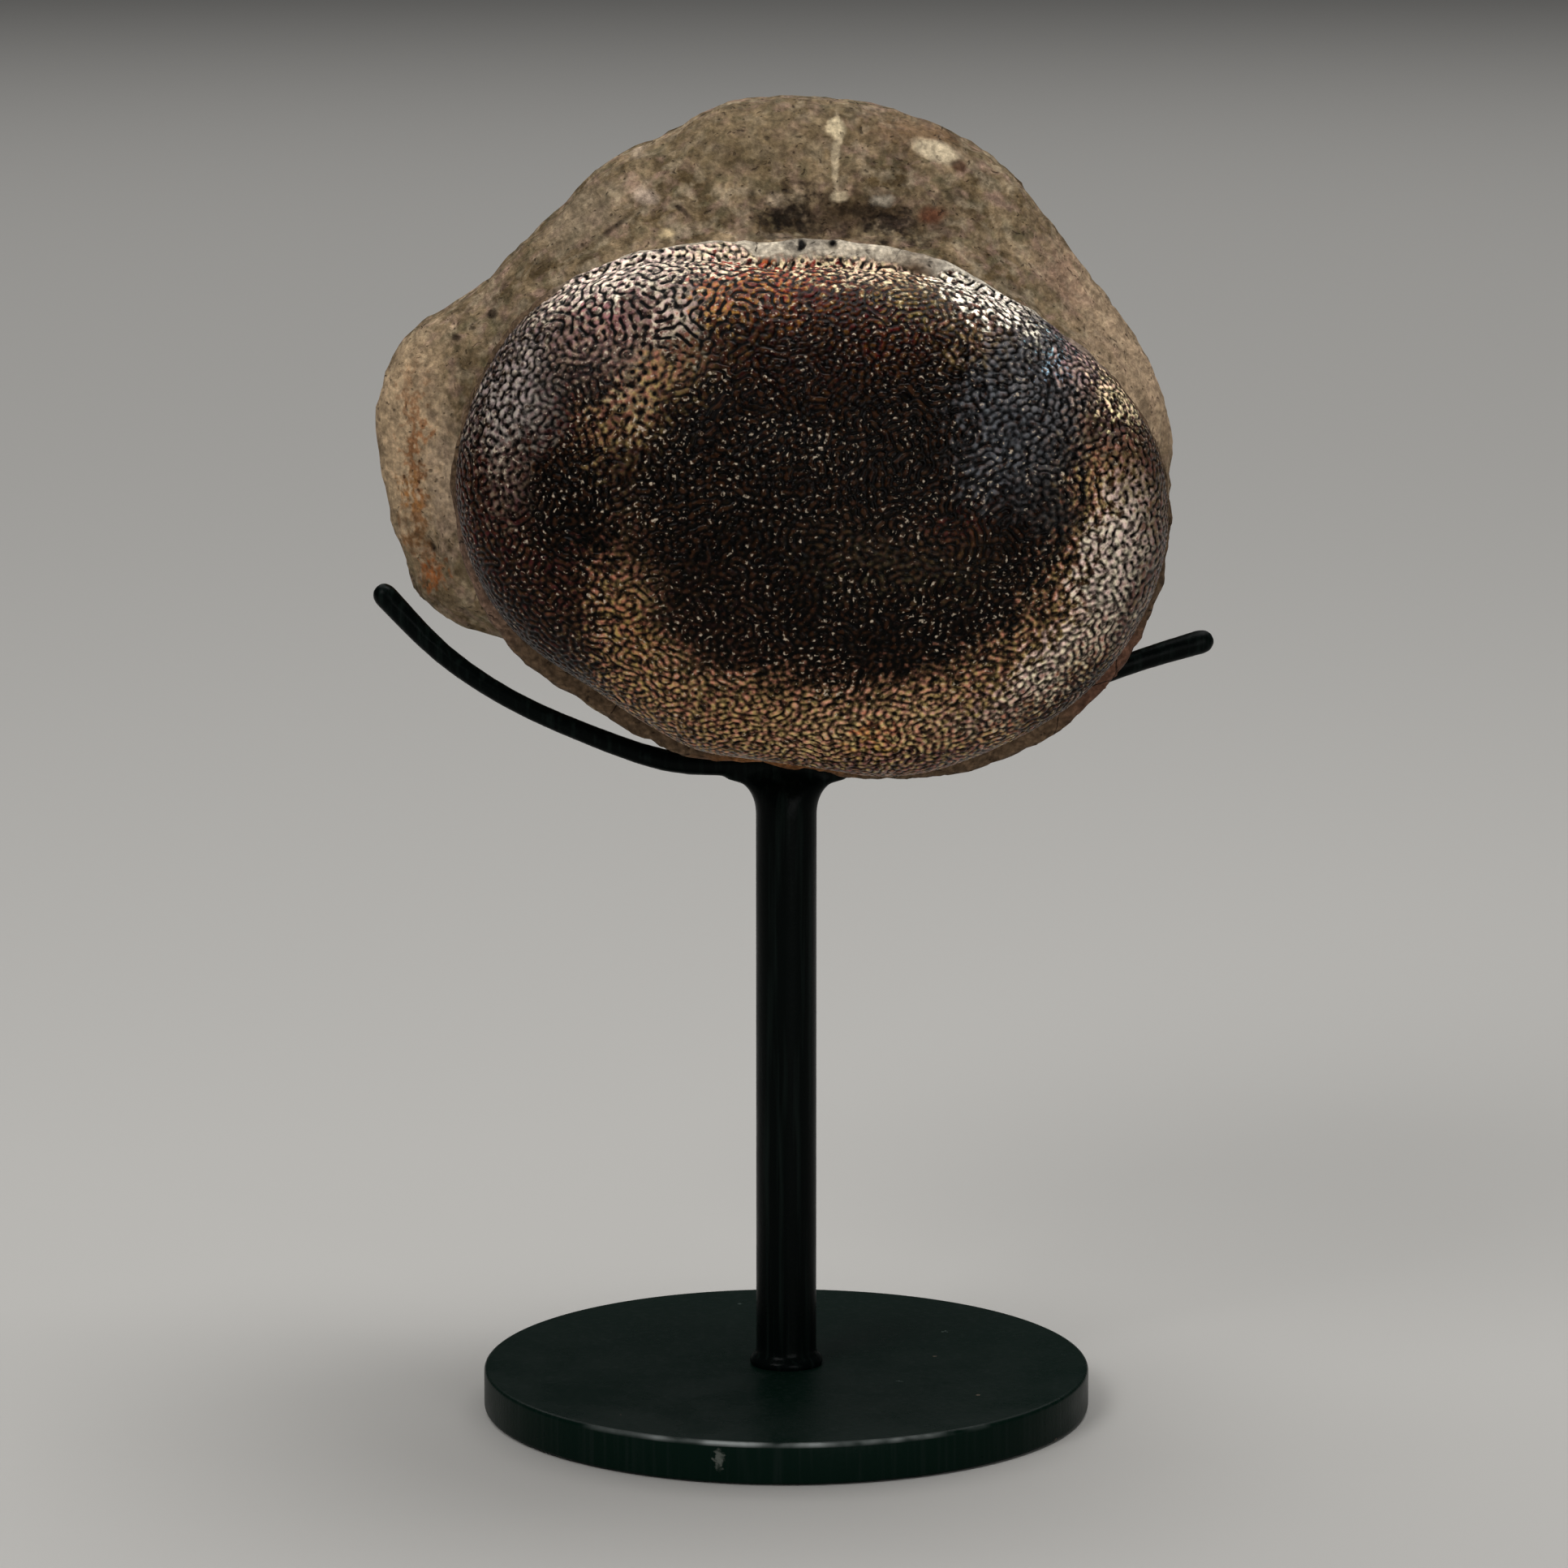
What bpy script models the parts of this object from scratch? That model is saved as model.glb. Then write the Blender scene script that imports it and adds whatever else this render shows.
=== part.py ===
"""Fossil mosasaur vertebra resting in the cradle of a small black steel stand.

The driving dimensions are in millimetres, and MM turns them into the scene's metres.
The origin is the centre of the base disc's underside, +Z is up, and the convex
joint face of the vertebra looks along -Y.
"""

import bisect
import math

import bmesh
import bpy
from mathutils import Vector, noise

MM = 0.001
TOUCH_GAP = 0.3

# Base disc and post
BASE_RADIUS = 40.0
BASE_THICKNESS = 5.5
BASE_EDGE_BEVEL = 0.6
BASE_SIDES = 80
POST_RADIUS = 4.0
POST_SIDES = 24
POST_FLARE_START_Z = 79.6
POST_TOP_HALF_WIDTH = 7.6
POST_TOP_HALF_DEPTH = 1.9
POST_FLARE_STEPS = 5

# Cradle rod, from the left tip to the right tip: x, y, z and radius of its centre line
CRADLE_ROUTE = (
    (-52.3, 3.0, 107.7, 1.65),
    (-44.9, 2.2, 100.2, 1.45),
    (-36.2, 1.2, 94.4, 1.35),
    (-26.2, 0.5, 89.9, 1.4),
    (-15.8, 0.0, 86.4, 1.5),
    (-7.0, 0.0, 85.9, 1.6),
    (0.0, 0.0, 85.9, 1.6),
    (7.0, 0.0, 85.9, 1.6),
    (14.0, 0.0, 86.6, 1.5),
    (21.0, 0.0, 88.6, 1.45),
    (29.5, 0.5, 92.2, 1.4),
    (38.0, 1.2, 96.3, 1.45),
    (46.2, 2.2, 99.3, 1.5),
    (54.2, 3.0, 101.6, 1.65),
)
CRADLE_SIDES = 12
CRADLE_STEPS_PER_SPAN = 3
CRADLE_TIP_STEPS = 3

# Axis of the vertebra's body, which its cross-sections are measured around
AXIS_X = 3.3
AXIS_Z = 122.6
RING_POINTS = 72

# Outline of the convex end, seen from the front: x and z
CONDYLE_OUTLINE = (
    (49.2, 120.4), (47.5, 130.0), (41.7, 139.0), (34.4, 145.1), (26.0, 150.6),
    (19.2, 154.0), (11.0, 155.9), (3.3, 156.6), (-2.9, 156.0), (-11.3, 156.3),
    (-19.5, 154.7), (-26.4, 151.9), (-33.4, 147.5), (-39.4, 138.4), (-42.2, 130.7),
    (-43.0, 124.4), (-41.3, 113.9), (-36.2, 104.0), (-28.1, 97.6), (-19.8, 92.5),
    (-12.8, 89.3), (-4.3, 88.5), (4.0, 87.6), (11.1, 86.4), (19.5, 86.5),
    (29.3, 89.3), (37.7, 94.6), (44.6, 103.1), (48.3, 112.3),
)
# Outline of the waist, whose underside lies in the cradle
WAIST_OUTLINE = (
    (45.5, 121.5), (43.5, 131.0), (35.0, 142.0), (22.0, 150.0), (3.3, 153.4),
    (-15.0, 151.5), (-30.0, 145.0), (-38.0, 133.0), (-39.5, 122.0), (-37.0, 108.0),
    (-28.0, 95.6), (-19.0, 90.0), (-10.0, 88.5), (3.3, 88.1), (14.0, 88.7),
    (21.0, 90.9), (29.5, 94.6), (37.5, 99.6), (43.0, 108.0),
)
# Outline of the wide concave end, with the stub of a side process at its left
FLARE_OUTLINE = (
    (51.7, 121.5), (51.2, 128.7), (49.5, 133.8), (45.7, 140.1), (38.5, 150.0),
    (32.9, 157.5), (29.1, 162.0), (23.4, 165.6), (12.8, 169.4), (3.3, 170.8),
    (-4.5, 170.7), (-8.9, 169.9), (-15.2, 165.8), (-22.7, 163.1), (-30.7, 155.9),
    (-39.1, 147.4), (-43.4, 143.4), (-49.5, 140.6), (-53.0, 136.0), (-55.0, 129.3),
    (-53.4, 118.4), (-53.0, 113.0), (-50.2, 107.2), (-51.0, 104.7), (-46.0, 101.2),
    (-38.0, 98.6), (-30.0, 94.0), (-20.0, 89.0), (-8.0, 86.0), (5.0, 85.0), (18.0, 86.0),
    (30.0, 90.0), (40.0, 97.0), (47.5, 107.0),
)
# Outline of the concave joint face at the back
COTYLE_OUTLINE = (
    (45.5, 123.0), (41.0, 139.0), (26.0, 151.0), (4.0, 155.8), (-18.0, 152.0),
    (-35.5, 141.0), (-40.5, 124.0), (-35.0, 106.5), (-19.0, 94.5), (4.0, 90.6),
    (26.0, 95.0), (41.0, 107.0),
)
# Width of the raised bone lip around the convex face: angle in degrees and width
LIP_WIDTHS = (
    (0.0, 0.7), (42.0, 0.9), (66.0, 2.8), (90.0, 3.6), (112.0, 2.8), (135.0, 1.2),
    (165.0, 0.8), (190.0, 1.6), (212.0, 3.4), (235.0, 2.8), (262.0, 1.5),
    (285.0, 1.7), (310.0, 3.2), (335.0, 2.0),
)

# Depth places along Y
DOME_EDGE_Y = -21.5
DOME_DEPTH = 20.5
DOME_POWER = 2.3
GROOVE_Y = -20.8
GROOVE_DEPTH = 0.5
GROOVE_FULL_LIP = 3.0
LIP_FACE = ((-20.1, 0.3), (-19.1, 0.72), (-17.6, 1.0))
LIP_CREST_Y = LIP_FACE[-1][0]
LIP_BACK_STEP = 0.6
LIP_BACK_LENGTH = 3.0
WAIST_FRONT_Y = -4.0
WAIST_BACK_Y = 3.4
FLARE_FULL_Y = 25.0
FLARE_WEAR_ALLOWANCE = 0.7
STUB_DELAY = 3.5
STUB_ANGLE = math.radians(181.0)
STUB_SPREAD = math.radians(26.0)
BACK_Y = 42.0
BACK_ROUNDING = 9.0
BACK_INSET = 4.6
COTYLE_DEPTH = 15.5
COTYLE_BOWL_POWER = 0.8
SIDE_STATIONS = (
    -15.5, -12.5, -9.5, -6.5, -3.5, -0.5, 2.5, 5.5, 8.5, 11.5, 14.5, 17.5,
    20.5, 23.5, 26.5, 29.5, 32.5, 35.5, 38.0, 39.8, 41.0,
)
DOME_RINGS = (0.13, 0.27, 0.41, 0.54, 0.66, 0.77, 0.86, 0.93, 0.975, 1.0)
COTYLE_RINGS = (1.0, 0.96, 0.87, 0.74, 0.58, 0.4, 0.2)
BACK_FACE_SHARES = (0.33, 0.66)

# Worn mouths of the filled spinal canal: centre, half widths and depth of each hollow
FRONT_CANAL_CENTRE = (7.5, 9.0)
FRONT_CANAL_REACH = (12.0, 5.5)
FRONT_CANAL_DEPTH = 2.2
BACK_CANAL_CENTRE = (4.5, 162.0)
BACK_CANAL_REACH = (9.0, 4.2)
BACK_CANAL_DEPTH = 2.4

# Wear of the surface, which only takes material away: lump size and depth
BODY_WEAR = ((13.0, 0.9), (6.0, 0.35))
DOME_WEAR = ((17.0, 0.5),)
DOME_WEAR_FADE_POWER = 6
# Band of the waist that lies in the cradle and stays even
SEAT_HALF_WIDTH = 2.5
SEAT_FADE = 7.0


def clear_scene():
    """Remove every object that the file opened with."""
    for item in list(bpy.data.objects):
        bpy.data.objects.remove(item, do_unlink=True)


def make_material(name, colour, roughness, metallic):
    """Return a Principled material with one colour and finish."""
    material = bpy.data.materials.new(name)
    material.use_nodes = True
    shader = material.node_tree.nodes["Principled BSDF"]
    shader.inputs["Base Color"].default_value = (*colour, 1.0)
    shader.inputs["Roughness"].default_value = roughness
    shader.inputs["Metallic"].default_value = metallic
    material.diffuse_color = (*colour, 1.0)
    return material


def add_object(name, bm, material, smooth_angle):
    """Turn a bmesh into a named object that is shaded smooth up to an angle."""
    bmesh.ops.recalc_face_normals(bm, faces=bm.faces)
    mesh = bpy.data.meshes.new(name)
    bm.to_mesh(mesh)
    bm.free()
    mesh.materials.append(material)
    mesh.shade_smooth()
    mesh.set_sharp_from_angle(angle=smooth_angle)
    item = bpy.data.objects.new(name, mesh)
    bpy.context.collection.objects.link(item)
    return item


def skin(rings, start, end):
    """Return a closed bmesh over rings of points, ended by a pole or by a flat cap."""
    bm = bmesh.new()
    loops = [[bm.verts.new(Vector(point) * MM) for point in ring] for ring in rings]
    for near, far in zip(loops, loops[1:]):
        for index in range(len(near)):
            after = (index + 1) % len(near)
            bm.faces.new((near[index], near[after], far[after], far[index]))
    for loop, pole in ((loops[0], start), (loops[-1], end)):
        if pole is None:
            bm.faces.new(loop)
            continue
        tip = bm.verts.new(Vector(pole) * MM)
        for index in range(len(loop)):
            bm.faces.new((loop[index], loop[(index + 1) % len(loop)], tip))
    return bm


def smoothstep(value):
    """Ease a value from 0 to 1 with level ends."""
    value = min(max(value, 0.0), 1.0)
    return value * value * (3.0 - 2.0 * value)


def hermite(before, start, end, after, share):
    """Cubic through two of four points, each a pair of place and value."""
    span = end[0] - start[0]
    slope_start = (end[1] - before[1]) / (end[0] - before[0])
    slope_end = (after[1] - start[1]) / (after[0] - start[0])
    cubed = share ** 3
    squared = share ** 2
    return (
        (2 * cubed - 3 * squared + 1) * start[1]
        + (cubed - 2 * squared + share) * span * slope_start
        + (3 * squared - 2 * cubed) * end[1]
        + (cubed - squared) * span * slope_end
    )


class RoundCurve:
    """A smooth value for every angle, through pairs of angle and value."""

    def __init__(self, pairs):
        turn = 2 * math.pi
        ordered = sorted((angle % turn, value) for angle, value in pairs)
        first, last = ordered[:2], ordered[-2:]
        self.knots = [(angle - turn, value) for angle, value in last]
        self.knots += ordered
        self.knots += [(angle + turn, value) for angle, value in first]
        self.places = [angle for angle, _ in self.knots]

    def at(self, angle):
        """Value at an angle in radians."""
        angle %= 2 * math.pi
        index = bisect.bisect_right(self.places, angle) - 1
        index = min(max(index, 1), len(self.knots) - 3)
        before, start, end, after = self.knots[index - 1:index + 3]
        share = (angle - start[0]) / (end[0] - start[0])
        return hermite(before, start, end, after, share)


def outline_curve(outline):
    """Radius about the body's axis for every angle of an outline."""
    pairs = []
    for x, z in outline:
        across, up = x - AXIS_X, z - AXIS_Z
        pairs.append((math.atan2(up, across), math.hypot(across, up)))
    return RoundCurve(pairs)


CONDYLE = outline_curve(CONDYLE_OUTLINE)
WAIST = outline_curve(WAIST_OUTLINE)
FLARE = outline_curve(FLARE_OUTLINE)
COTYLE = outline_curve(COTYLE_OUTLINE)
LIP = RoundCurve([(math.radians(angle), width) for angle, width in LIP_WIDTHS])
ANGLES = [2 * math.pi * index / RING_POINTS for index in range(RING_POINTS)]


def at_radius(angle, radius, y):
    """Point at an angle and radius about the body's axis."""
    return (AXIS_X + radius * math.cos(angle), y, AXIS_Z + radius * math.sin(angle))


def hollow(across, along, centre, reach, depth):
    """Depth of a soft round hollow at a place."""
    square = ((across - centre[0]) / reach[0]) ** 2 + ((along - centre[1]) / reach[1]) ** 2
    return depth * math.exp(-square)


def wear(point, layers):
    """Depth of natural wear at a point, never negative."""
    total = 0.0
    for size, depth in layers:
        total += depth * (0.5 + 0.5 * noise.noise(Vector(point) / size))
    return total


def side_radius(angle, y):
    """Radius of the body between the lip of the convex face and the back edge."""
    front = CONDYLE.at(angle) - LIP_BACK_STEP * smoothstep((y - LIP_CREST_Y) / LIP_BACK_LENGTH)
    waist = WAIST.at(angle)
    if y < WAIST_FRONT_Y:
        share = smoothstep((y - LIP_CREST_Y) / (WAIST_FRONT_Y - LIP_CREST_Y))
        return front + (waist - front) * share
    turn = math.remainder(angle - STUB_ANGLE, 2 * math.pi) / STUB_SPREAD
    start = WAIST_BACK_Y + STUB_DELAY * math.exp(-turn * turn)
    share = smoothstep((y - start) / (FLARE_FULL_Y - start))
    radius = waist + (FLARE.at(angle) + FLARE_WEAR_ALLOWANCE - waist) * share
    rounding = min(max((y - BACK_Y + BACK_ROUNDING) / BACK_ROUNDING, 0.0), 1.0)
    return radius - BACK_INSET * (1.0 - math.sqrt(1.0 - rounding ** 2))


def side_point(angle, y):
    """Point on the body's side, with its wear and the front canal hollow."""
    radius = side_radius(angle, y)
    x, _, z = at_radius(angle, radius, y)
    radius -= wear((x, y, z), BODY_WEAR) * smoothstep((abs(y) - SEAT_HALF_WIDTH) / SEAT_FADE)
    if z > AXIS_Z:
        radius -= hollow(x, y, FRONT_CANAL_CENTRE, FRONT_CANAL_REACH, FRONT_CANAL_DEPTH)
    return at_radius(angle, radius, y)


def dome_ring(share):
    """Ring of the convex face at a share of its radius."""
    height = DOME_DEPTH * (1.0 - share ** DOME_POWER) ** (1.0 / DOME_POWER)
    fade = 1.0 - share ** DOME_WEAR_FADE_POWER
    ring = []
    for angle in ANGLES:
        radius = share * (CONDYLE.at(angle) - LIP.at(angle))
        x, y, z = at_radius(angle, radius, DOME_EDGE_Y - height)
        ring.append((x, y + wear((x, y, z), DOME_WEAR) * fade, z))
    return ring


def lip_rings():
    """Groove at the edge of the convex face, and the raised lip around it."""
    groove = []
    for angle in ANGLES:
        width = LIP.at(angle)
        depth = GROOVE_DEPTH * min(width / GROOVE_FULL_LIP, 1.0)
        groove.append(at_radius(angle, CONDYLE.at(angle) - width - depth, GROOVE_Y))
    rings = [groove]
    for y, share in LIP_FACE:
        rings.append([
            at_radius(angle, CONDYLE.at(angle) - (1.0 - share) * LIP.at(angle), y)
            for angle in ANGLES
        ])
    return rings


def back_face_ring(share):
    """Ring of the back face between its outer edge and the rim of the concave face."""
    ring = []
    for angle in ANGLES:
        outer = side_radius(angle, SIDE_STATIONS[-1])
        radius = outer + (COTYLE.at(angle) - outer) * share
        y = SIDE_STATIONS[-1] + (BACK_Y - SIDE_STATIONS[-1]) * share
        x, _, z = at_radius(angle, radius, y)
        y -= hollow(x, z, BACK_CANAL_CENTRE, BACK_CANAL_REACH, BACK_CANAL_DEPTH)
        y -= wear((x, y, z), BODY_WEAR) * (1.0 - share)
        ring.append((x, y, z))
    return ring


def cotyle_ring(share):
    """Ring of the concave face at a share of its radius."""
    depth = COTYLE_DEPTH * (1.0 - share ** 2) ** COTYLE_BOWL_POWER
    return [at_radius(angle, share * COTYLE.at(angle), BACK_Y - depth) for angle in ANGLES]


def build_vertebra():
    """The fossil bone: convex face, lip, waist, flare and concave face in one solid."""
    rings = [dome_ring(share) for share in DOME_RINGS]
    rings += lip_rings()
    rings += [[side_point(angle, y) for angle in ANGLES] for y in SIDE_STATIONS]
    rings += [back_face_ring(share) for share in BACK_FACE_SHARES]
    rings += [cotyle_ring(share) for share in COTYLE_RINGS]
    apex = (AXIS_X, DOME_EDGE_Y - DOME_DEPTH + DOME_WEAR[0][1] / 2, AXIS_Z)
    floor = (AXIS_X, BACK_Y - COTYLE_DEPTH, AXIS_Z)
    fossil = make_material("fossil_bone", (0.21, 0.155, 0.105), 0.55, 0.0)
    return add_object("vertebra", skin(rings, apex, floor), fossil, math.radians(60))


def build_base(paint):
    """Round steel plate that carries the post."""
    bm = bmesh.new()
    bmesh.ops.create_cone(
        bm, cap_ends=True, segments=BASE_SIDES, radius1=BASE_RADIUS * MM,
        radius2=BASE_RADIUS * MM, depth=BASE_THICKNESS * MM,
    )
    bmesh.ops.translate(bm, verts=bm.verts, vec=(0, 0, BASE_THICKNESS * MM / 2))
    base = add_object("base_disc", bm, paint, math.radians(50))
    bevel = base.modifiers.new("edge", "BEVEL")
    bevel.width = BASE_EDGE_BEVEL * MM
    bevel.segments = 2
    bevel.limit_method = "ANGLE"
    bevel.angle_limit = math.radians(40)
    return base


def post_ring(half_width, half_depth, z):
    """Oval ring of the post."""
    turns = [2 * math.pi * index / POST_SIDES for index in range(POST_SIDES)]
    return [(half_width * math.cos(turn), half_depth * math.sin(turn), z) for turn in turns]


def build_post(paint):
    """Round post, whose top spreads under the cradle as a smooth weld fillet."""
    top = CRADLE_ROUTE[6][2] - CRADLE_ROUTE[6][3] - TOUCH_GAP
    rings = [post_ring(POST_RADIUS, POST_RADIUS, BASE_THICKNESS + TOUCH_GAP)]
    for step in range(POST_FLARE_STEPS + 1):
        turn = math.pi / 2 * step / POST_FLARE_STEPS
        half_width = POST_RADIUS + (POST_TOP_HALF_WIDTH - POST_RADIUS) * (1 - math.cos(turn))
        half_depth = POST_RADIUS + (POST_TOP_HALF_DEPTH - POST_RADIUS) * (1 - math.cos(turn))
        z = POST_FLARE_START_Z + (top - POST_FLARE_START_Z) * math.sin(turn)
        rings.append(post_ring(half_width, half_depth, z))
    return add_object("post", skin(rings, None, None), paint, math.radians(50))


def cradle_centres():
    """Points and radii along the cradle's centre line, on a smooth curve."""
    ends = (CRADLE_ROUTE[0], CRADLE_ROUTE[-1])
    knots = [ends[0], *CRADLE_ROUTE, ends[1]]
    centres = []
    for index in range(1, len(knots) - 2):
        for step in range(CRADLE_STEPS_PER_SPAN):
            share = step / CRADLE_STEPS_PER_SPAN
            span = list(enumerate(knots[index - 1:index + 3]))
            centres.append([
                hermite(*[(place, knot[axis]) for place, knot in span], share)
                for axis in range(4)
            ])
    centres.append(list(ends[1]))
    return centres


def cradle_frame(centres, index):
    """Centre, direction and two spokes of the cradle's ring at one point."""
    before = Vector(centres[max(index - 1, 0)][:3])
    after = Vector(centres[min(index + 1, len(centres) - 1)][:3])
    along = (after - before).normalized()
    side = Vector((0, 1, 0)).cross(along).normalized()
    return Vector(centres[index][:3]), along, side, along.cross(side)


def cradle_ring(frame, shift, radius):
    """Round ring of the cradle, moved along its direction by a shift."""
    centre, along, side, deep = frame
    turns = [2 * math.pi * corner / CRADLE_SIDES for corner in range(CRADLE_SIDES)]
    return [
        centre + along * shift + (side * math.cos(turn) + deep * math.sin(turn)) * radius
        for turn in turns
    ]


def cradle_tip(frame, radius, outward):
    """Rings of a half-round tip from its rod to its pole, and the pole."""
    turns = [math.pi / 2 * step / (CRADLE_TIP_STEPS + 1) for step in range(1, CRADLE_TIP_STEPS + 1)]
    rings = [
        cradle_ring(frame, outward * radius * math.sin(turn), radius * math.cos(turn))
        for turn in turns
    ]
    return rings, frame[0] + frame[1] * outward * radius


def build_cradle(paint):
    """Bent rod with round ends, in whose dip the vertebra lies."""
    centres = cradle_centres()
    frames = [cradle_frame(centres, index) for index in range(len(centres))]
    radii = [centre[3] for centre in centres]
    left_rings, left_pole = cradle_tip(frames[0], radii[0], -1)
    right_rings, right_pole = cradle_tip(frames[-1], radii[-1], 1)
    rings = left_rings[::-1]
    rings += [cradle_ring(frame, 0.0, radius) for frame, radius in zip(frames, radii)]
    rings += right_rings
    return add_object("cradle", skin(rings, left_pole, right_pole), paint, math.radians(50))


def main():
    """Build the vertebra and its stand."""
    clear_scene()
    paint = make_material("black_paint", (0.006, 0.009, 0.008), 0.35, 0.3)
    build_base(paint)
    build_post(paint.copy())
    build_cradle(paint.copy())
    build_vertebra()


main()
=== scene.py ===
"""Looks of the fossil mosasaur vertebra on its black steel stand.

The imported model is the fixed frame. Three pieces are dressed over it: the fossil bone, the
welded rod frame that carries it, and the round base plate. Lengths are in millimetres, and MM
turns them into the scene's metres. +Z is up, and the bone's domed joint face looks along -Y.
"""

import logging
import math
from collections.abc import Callable
from dataclasses import dataclass
from enum import Enum
from functools import partial

import bpy
import numpy as np
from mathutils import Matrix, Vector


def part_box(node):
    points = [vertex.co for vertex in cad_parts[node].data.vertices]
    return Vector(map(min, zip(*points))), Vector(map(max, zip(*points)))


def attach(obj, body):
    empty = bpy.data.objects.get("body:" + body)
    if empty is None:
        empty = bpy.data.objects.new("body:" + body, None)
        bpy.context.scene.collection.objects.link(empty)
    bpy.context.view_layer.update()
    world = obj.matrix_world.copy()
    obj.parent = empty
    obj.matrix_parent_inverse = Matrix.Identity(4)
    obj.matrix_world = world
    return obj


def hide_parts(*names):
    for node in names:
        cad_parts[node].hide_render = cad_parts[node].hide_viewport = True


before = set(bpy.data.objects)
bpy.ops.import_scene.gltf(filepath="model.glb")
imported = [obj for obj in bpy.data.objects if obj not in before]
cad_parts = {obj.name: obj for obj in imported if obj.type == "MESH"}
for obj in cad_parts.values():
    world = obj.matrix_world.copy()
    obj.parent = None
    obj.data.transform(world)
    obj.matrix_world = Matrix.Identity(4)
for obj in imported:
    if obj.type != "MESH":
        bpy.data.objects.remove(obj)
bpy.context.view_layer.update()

MM = 0.001
PER_MM = 1000.0
MERGE_DISTANCE = 1e-5
# Reach of a patch that runs right through the face
FAR = 400.0
# Typical of lacquer and enamel
COAT_IOR = 1.5
# What a node's mode stands for
MAIN_MENUS = {
    "Math": "operation", "VectorMath": "operation", "Mix": "data_type",
    "MapRange": "interpolation_type", "VectorRotate": "rotation_type",
}

log = logging.getLogger("fossil_scene")

Triple = tuple[float, float, float]
Colour = tuple[float, float, float, float]
Item = bpy.types.Object
Material = bpy.types.Material
Socket = bpy.types.NodeSocket
Node = bpy.types.Node
Tree = bpy.types.NodeTree
Adder = Callable[..., Node]


class Slot(Enum):
    """Material slots of the record, one for each finish; the pieces are handed one, but nothing
    reads it.
    """

    BONE = "fossil_bone"
    PAINT = "black_paint"


def linear(code: str) -> Colour:
    """Turn an sRGB hex colour into linear values.

    Args:
        code: Six hex digits.

    Returns:
        Linear red, green and blue, and full opacity.
    """
    channels = [int(code[place:place + 2], 16) / 255 for place in (0, 2, 4)]
    red, green, blue = [
        value / 12.92 if value <= 0.04045 else ((value + 0.055) / 1.055) ** 2.4
        for value in channels
    ]
    return red, green, blue, 1.0


def add_node(
    tree: Tree, kind: str, inputs: tuple | dict = (), mode: str = "", **settings: object,
) -> Node:
    """Add a node with its settings, values and links.

    Args:
        tree: Node tree that gets the node.
        kind: The node's type, a shader node unless it says otherwise.
        inputs: Value, hex colour, socket or node for the inputs in use, in order or by name.
        mode: What its main menu is set to.
        **settings: Other properties of the node.

    Returns:
        The new node.
    """
    node = tree.nodes.new(kind if "Node" in kind else "ShaderNode" + kind)
    if mode:
        settings[MAIN_MENUS[kind]] = mode
    for name, value in settings.items():
        setattr(node, name, value)
    used = [socket for socket in node.inputs if socket.enabled]
    by_name = isinstance(inputs, dict)
    for key, value in inputs.items() if by_name else enumerate(inputs):
        socket = next(item for item in used if item.name == key) if by_name else used[key]
        if isinstance(value, Node):
            value = next(item for item in value.outputs if item.enabled)
        if isinstance(value, Socket):
            tree.links.new(value, socket)
        else:
            socket.default_value = linear(value) if socket.type == "RGBA" else value
    return node


def start_material(name: str) -> tuple[Material, Adder, Node]:
    """Start a material.

    Args:
        name: Its name.

    Returns:
        The material, what adds a node to it, and a node that gives the place in millimetres.
    """
    material = bpy.data.materials.new(name)
    material.use_nodes = True
    material.node_tree.nodes.clear()
    add = partial(add_node, material.node_tree)
    coordinates = add("TexCoord").outputs["Object"]
    return material, add, add("VectorMath", (coordinates, PER_MM), "SCALE")


def close_material(
    add: Adder, colour: Node, roughness: Node, height: Node, relief: tuple[float, float],
    shine: float,
) -> None:
    """End a material in its shader.

    Args:
        add: Adds a node.
        colour, roughness, height: Its colour, its roughness and the height of its fine relief.
        relief: Strength of that relief, and its depth in millimetres.
        shine: Specular level, kept low, because the photo shows hardly any haze.
    """
    strength, depth = relief
    bump = add("Bump", {"Height": height, "Strength": strength, "Distance": depth * MM})
    shader = add("BsdfPrincipled", {
        "Base Color": colour, "Roughness": roughness, "IOR": COAT_IOR,
        "Specular IOR Level": shine, "Normal": bump,
    })
    add("OutputMaterial", {"Surface": shader})


def shift_place(add: Adder, place: Node, noise: Node, reach: float) -> Node:
    """Shift a place by a noise's colours, which gives what is laid there a ragged edge.

    Args:
        add: Adds a node.
        place: Place in millimetres.
        noise: The noise.
        reach: How far it shifts the place.

    Returns:
        Node that gives the shifted place.
    """
    shift = add("VectorMath", (noise.outputs["Color"], (0.5, 0.5, 0.5)), "SUBTRACT")
    return add("VectorMath", (shift, (reach,) * 3, place), "MULTIPLY_ADD")


def select_only(*items: Item) -> None:
    """Select some objects alone, the first as the active one.

    Args:
        *items: The objects.
    """
    bpy.ops.object.select_all(action="DESELECT")
    for item in items:
        item.select_set(True)
    bpy.context.view_layer.objects.active = items[0]


def apply_modifier(item: Item, kind: str, **settings: object) -> None:
    """Add a modifier to an object and apply it.

    Args:
        item: The object.
        kind: The modifier's type.
        **settings: Properties of the modifier.
    """
    select_only(item)
    modifier = item.modifiers.new(kind.lower(), kind)
    for name, value in settings.items():
        setattr(modifier, name, value)
    bpy.ops.object.modifier_apply(modifier=modifier.name)


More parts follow.
